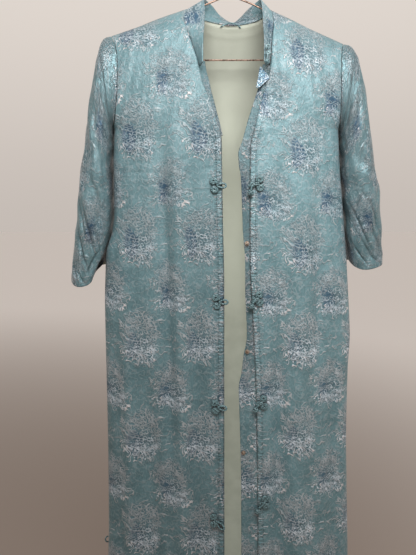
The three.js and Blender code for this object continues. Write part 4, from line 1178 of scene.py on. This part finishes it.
def loop_frog(number, x, z, to_x, to_z):
    heading = math.atan2(to_z - (z - 6.5), to_x - (x + 4))
    upper = lay_on("right", coil_path(x, z, COIL, heading - 0.6, COIL_TURNS, 1))
    lower = lay_on("right", coil_path(x + 1.5, z - PAIR_DROP, COIL, heading + 0.6, COIL_TURNS, -1))
    ring = np.linspace(0, 2 * math.pi, 32, endpoint=False)
    tip = np.array([to_x, to_z])
    waist = np.array([x + 5.5, z - 7.0])
    away = tip - waist
    length = np.linalg.norm(away) + 5.0
    along_it = away / np.linalg.norm(away)
    across_it = np.array([-along_it[1], along_it[0]])
    drop = length * (1 - np.cos(ring)) / 2
    bulge = 4.6 * np.sin(ring) * np.sqrt(np.clip((1 - np.cos(ring)) / 2, 0, 1)) ** 0.8
    flat = waist + drop[:, None] * along_it + bulge[:, None] * across_it
    loop = lay_on("right", np.column_stack([flat, 1.2 * np.sin(ring / 2) ** 2]), lift=0.9)
    parts = [tube_mesh(upper, CORD, 8), tube_mesh(lower, CORD, 8),
             tube_mesh(loop, CORD * 0.95, 8, closed=True)]
    tube_piece(f"frog_cord_loop_{number}", parts, f"frog_loop_{number}", cord_satin)


def knot_frog(number, x, z, leaf_x, leaf_z, knot_x, knot_z):
    heading = math.atan2(leaf_z - (z - 6.5), leaf_x - x)
    upper = lay_on("left", coil_path(x, z, COIL, heading + 0.6, COIL_TURNS, -1))
    lower = lay_on("left", coil_path(x + 1, z - PAIR_DROP, COIL, heading - 0.6, COIL_TURNS, 1))
    leaf = lay_on("left", coil_path(leaf_x, leaf_z, COIL * 0.78, heading, 1.6, 1), lift=0.4)
    knot_y = float(panel_y("left", knot_x, knot_z)) - 5.0
    waist = np.array([x - 1.0, z - 6.5])
    stems = []
    for shift in (-1.3, 1.3):
        flat = smooth_path([(waist[0], waist[1] + shift), (leaf_x + 2, leaf_z + shift),
                            (leaf_x - 1.5, leaf_z - 4 + shift * 0.4), (knot_x + 1, knot_z + 3)], 26)
        lifted = np.column_stack([flat, 1.4 + 1.6 * np.linspace(0, 1, 26)])
        stems.append(tube_mesh(lay_on("left", lifted), CORD * 0.85, 8))
    knot = knot_parts(np.array([knot_x, knot_y, knot_z]), 5.6)
    parts = [tube_mesh(upper, CORD, 8), tube_mesh(lower, CORD, 8), tube_mesh(leaf, CORD, 8)]
    tube_piece(f"frog_cord_knot_{number}", parts + stems + knot, f"frog_knot_{number}",
               cord_satin)


for number, row in enumerate(LOOP_FROGS, start=2):
    loop_frog(number, *row)
for number, row in enumerate(KNOT_FROGS, start=2):
    knot_frog(number, *row)


def neck_frog():
    """The top frog's knot side, sewn on the collar's end."""
    parts = []
    for x, z, lift, sense in ((62.4, -202, 0.0, 1), (62, -212.5, 0.6, -1)):
        flat = coil_path(x, z, 5.6, 1.2, 1.8, sense)
        y = NECK_FROG_Y - flat[:, 2] - lift
        parts.append(tube_mesh(np.stack([flat[:, 0], y, flat[:, 1]], axis=1), 1.5, 8))
    stem = smooth_path([(62, NECK_FROG_Y - 1, -212), (61, NECK_FROG_Y - 2, -219),
                        (60.5, NECK_FROG_Y - 2, -224)], 10)
    parts.append(tube_mesh(stem, 1.5, 8))
    parts.extend(knot_parts(np.array([60.5, NECK_FROG_Y - 1.5, -226]), 4.6))
    tube_piece("frog_cord_knot_1", parts, "frog_knot_1", cord_satin)


neck_frog()

# ---- carried-over metal and small cord ------------------------------------

bpy.context.view_layer.update()
for name, material in (("snap_1", rusty_snap), ("snap_2", rusty_snap), ("snap_3", rusty_snap),
                       ("hang_loop", cord_satin), ("side_loop", cord_satin)):
    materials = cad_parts[name].data.materials
    materials.clear()
    materials.append(material)

# ---- hanger ----------------------------------------------------------------

HOOK_RADIUS, NECK_Z, ARM_DROP = 20.4, -99.0, 3.8


def arm(hand, places):
    """Places along an arm of the hanger, just under the shoulder seam."""
    sign = -1 if hand == "right" else 1
    return [(sign * x, 0.0, float(shoulder_z[hand](sign * x)) - ARM_DROP + max(0.0, 3.5 - x / 14))
            for x in places]


def wire_piece(name, path, steps, node):
    tube_piece(name, [tube_mesh(smooth_path(path, steps), WIRE_RADIUS, 12)], node,
               copper_wire)


left_bend = [(195, 0, -188), (198, 0, -194), (195.5, 0, -200.5), (188, 0, BAR_Z)]
right_bend = [(-197, 0, -173.5), (-201, 0, -184), (-198, 0, -197), (-187, 0, BAR_Z)]
bar = [(x, 0, BAR_Z) for x in (160, 80, 0, -80, -160)]
frame_path = ([(2.4, 0, NECK_Z + 3.1), (3.4, 0, NECK_Z)]
              + arm("left", (14, 42, 72, 106, 142, 177, 188)) + left_bend + bar
              + right_bend[::-1] + arm("right", (14, 42, 72, 106, 142, 177, 190))[::-1]
              + [(-3.4, 0, NECK_Z), (-2.4, 0, NECK_Z + 3.1)])
wire_piece("wire_frame", frame_path, 420, "hanger_frame")

hook_path = [(0, 0, NECK_Z + 3), (0, 0, -80), (0, 0, -62), (5, 0, -47), (15, 0, -34)]
hook_path += [(HOOK_RADIUS * math.cos(a), 0, WIRE_RADIUS - HOOK_RADIUS + HOOK_RADIUS * math.sin(a))
              for a in np.linspace(0, math.pi, 10)]
hook_path.append((-HOOK_RADIUS + 0.6, 0, WIRE_RADIUS - HOOK_RADIUS - 9))
wire_piece("wire_hook", hook_path, 160, "hanger_hook")

twist_turn = np.linspace(0, 2 * math.pi * 5.5, 200)
twist_path = np.stack([2.85 * np.cos(twist_turn), 2.85 * np.sin(twist_turn),
                       np.linspace(-94, -72.5, 200)], axis=1)
tube_piece("wire_twist", [tube_mesh(twist_path, 1.35, 10)], "hanger_twist", copper_wire)

# ---- floor and light -------------------------------------------------------

FLOOR_Z = HEM_Z - 130


def floor():
    """A wide floor with painted shade near the coat and a painted glow far away, where it meets the
    room's colour; it lightens sooner towards +X.
    """
    bpy.ops.mesh.primitive_plane_add(size=120, location=(0, 0, FLOOR_Z * MM))
    plane = bpy.context.object
    plane.name = "floor"
    material, tree, shader = new_material("floor")
    x, y = parts_of(tree, place_on(tree, "Object"), 2)
    far = ((x * x + y * y).math("SQRT") + x * 0.45).ramp(0.2, 5.2)
    # Painted shade near the coat, and a painted glow from the emission further out.
    give(shader, {"Base Color": blend_colour(tree, far, FLOOR_NEAR_SHADE, FLOOR_FAR_GLOW),
                  "Emission Color": FLOOR_FAR_GLOW, "Emission Strength": far * 0.215,
                  "Roughness": 0.9, "Specular IOR Level": 0.1})
    plane.data.materials.append(material)


def area_light(name, place, aim, size, power, colour):
    light = bpy.data.lights.new(name, "AREA")
    light.shape = "RECTANGLE"
    light.size, light.size_y = size
    light.energy = power
    light.color = colour
    lamp = bpy.data.objects.new(name, light)
    bpy.context.scene.collection.objects.link(lamp)
    lamp.location = place
    lamp.rotation_euler = (Vector(aim) - Vector(place)).to_track_quat("-Z", "Y").to_euler()
    lamp.visible_camera = False


def world_light():
    """A pale room, brighter overhead and behind the coat than in front of it."""
    world = bpy.data.worlds.new("room")
    bpy.context.scene.world = world
    world.use_nodes = True
    tree = world.node_tree
    _, behind, upward = parts_of(tree, place_on(tree, "Generated"), 3)
    wall = blend_colour(tree, upward.ramp(-0.05, 0.5), WALL_LOW, WALL_HIGH)
    room = blend_colour(tree, behind.ramp(-0.6, 0.7), ROOM_FRONT, wall)
    give(tree.nodes["Background"], {"Color": room})


FLOOR_NEAR_SHADE = linear(166, 152, 143)
FLOOR_FAR_GLOW = linear(235, 228, 223)
WALL_LOW = linear(196, 187, 180)
WALL_HIGH = linear(226, 217, 209)
ROOM_FRONT = linear(120, 118, 116)

floor()
world_light()
area_light("key", (0.08, -0.74, 0.22), (0.03, 0.2, 0.0), (0.8, 0.5), 12.4, (1.0, 0.99, 0.97))
area_light("inside", (0.02, -0.02, -0.95), (0.02, 1.0, -0.95), (0.1, 1.1), 0.17, (1.0, 0.99, 0.97))

# ---- finish ----------------------------------------------------------------

bpy.context.scene.view_settings.view_transform = "Standard"
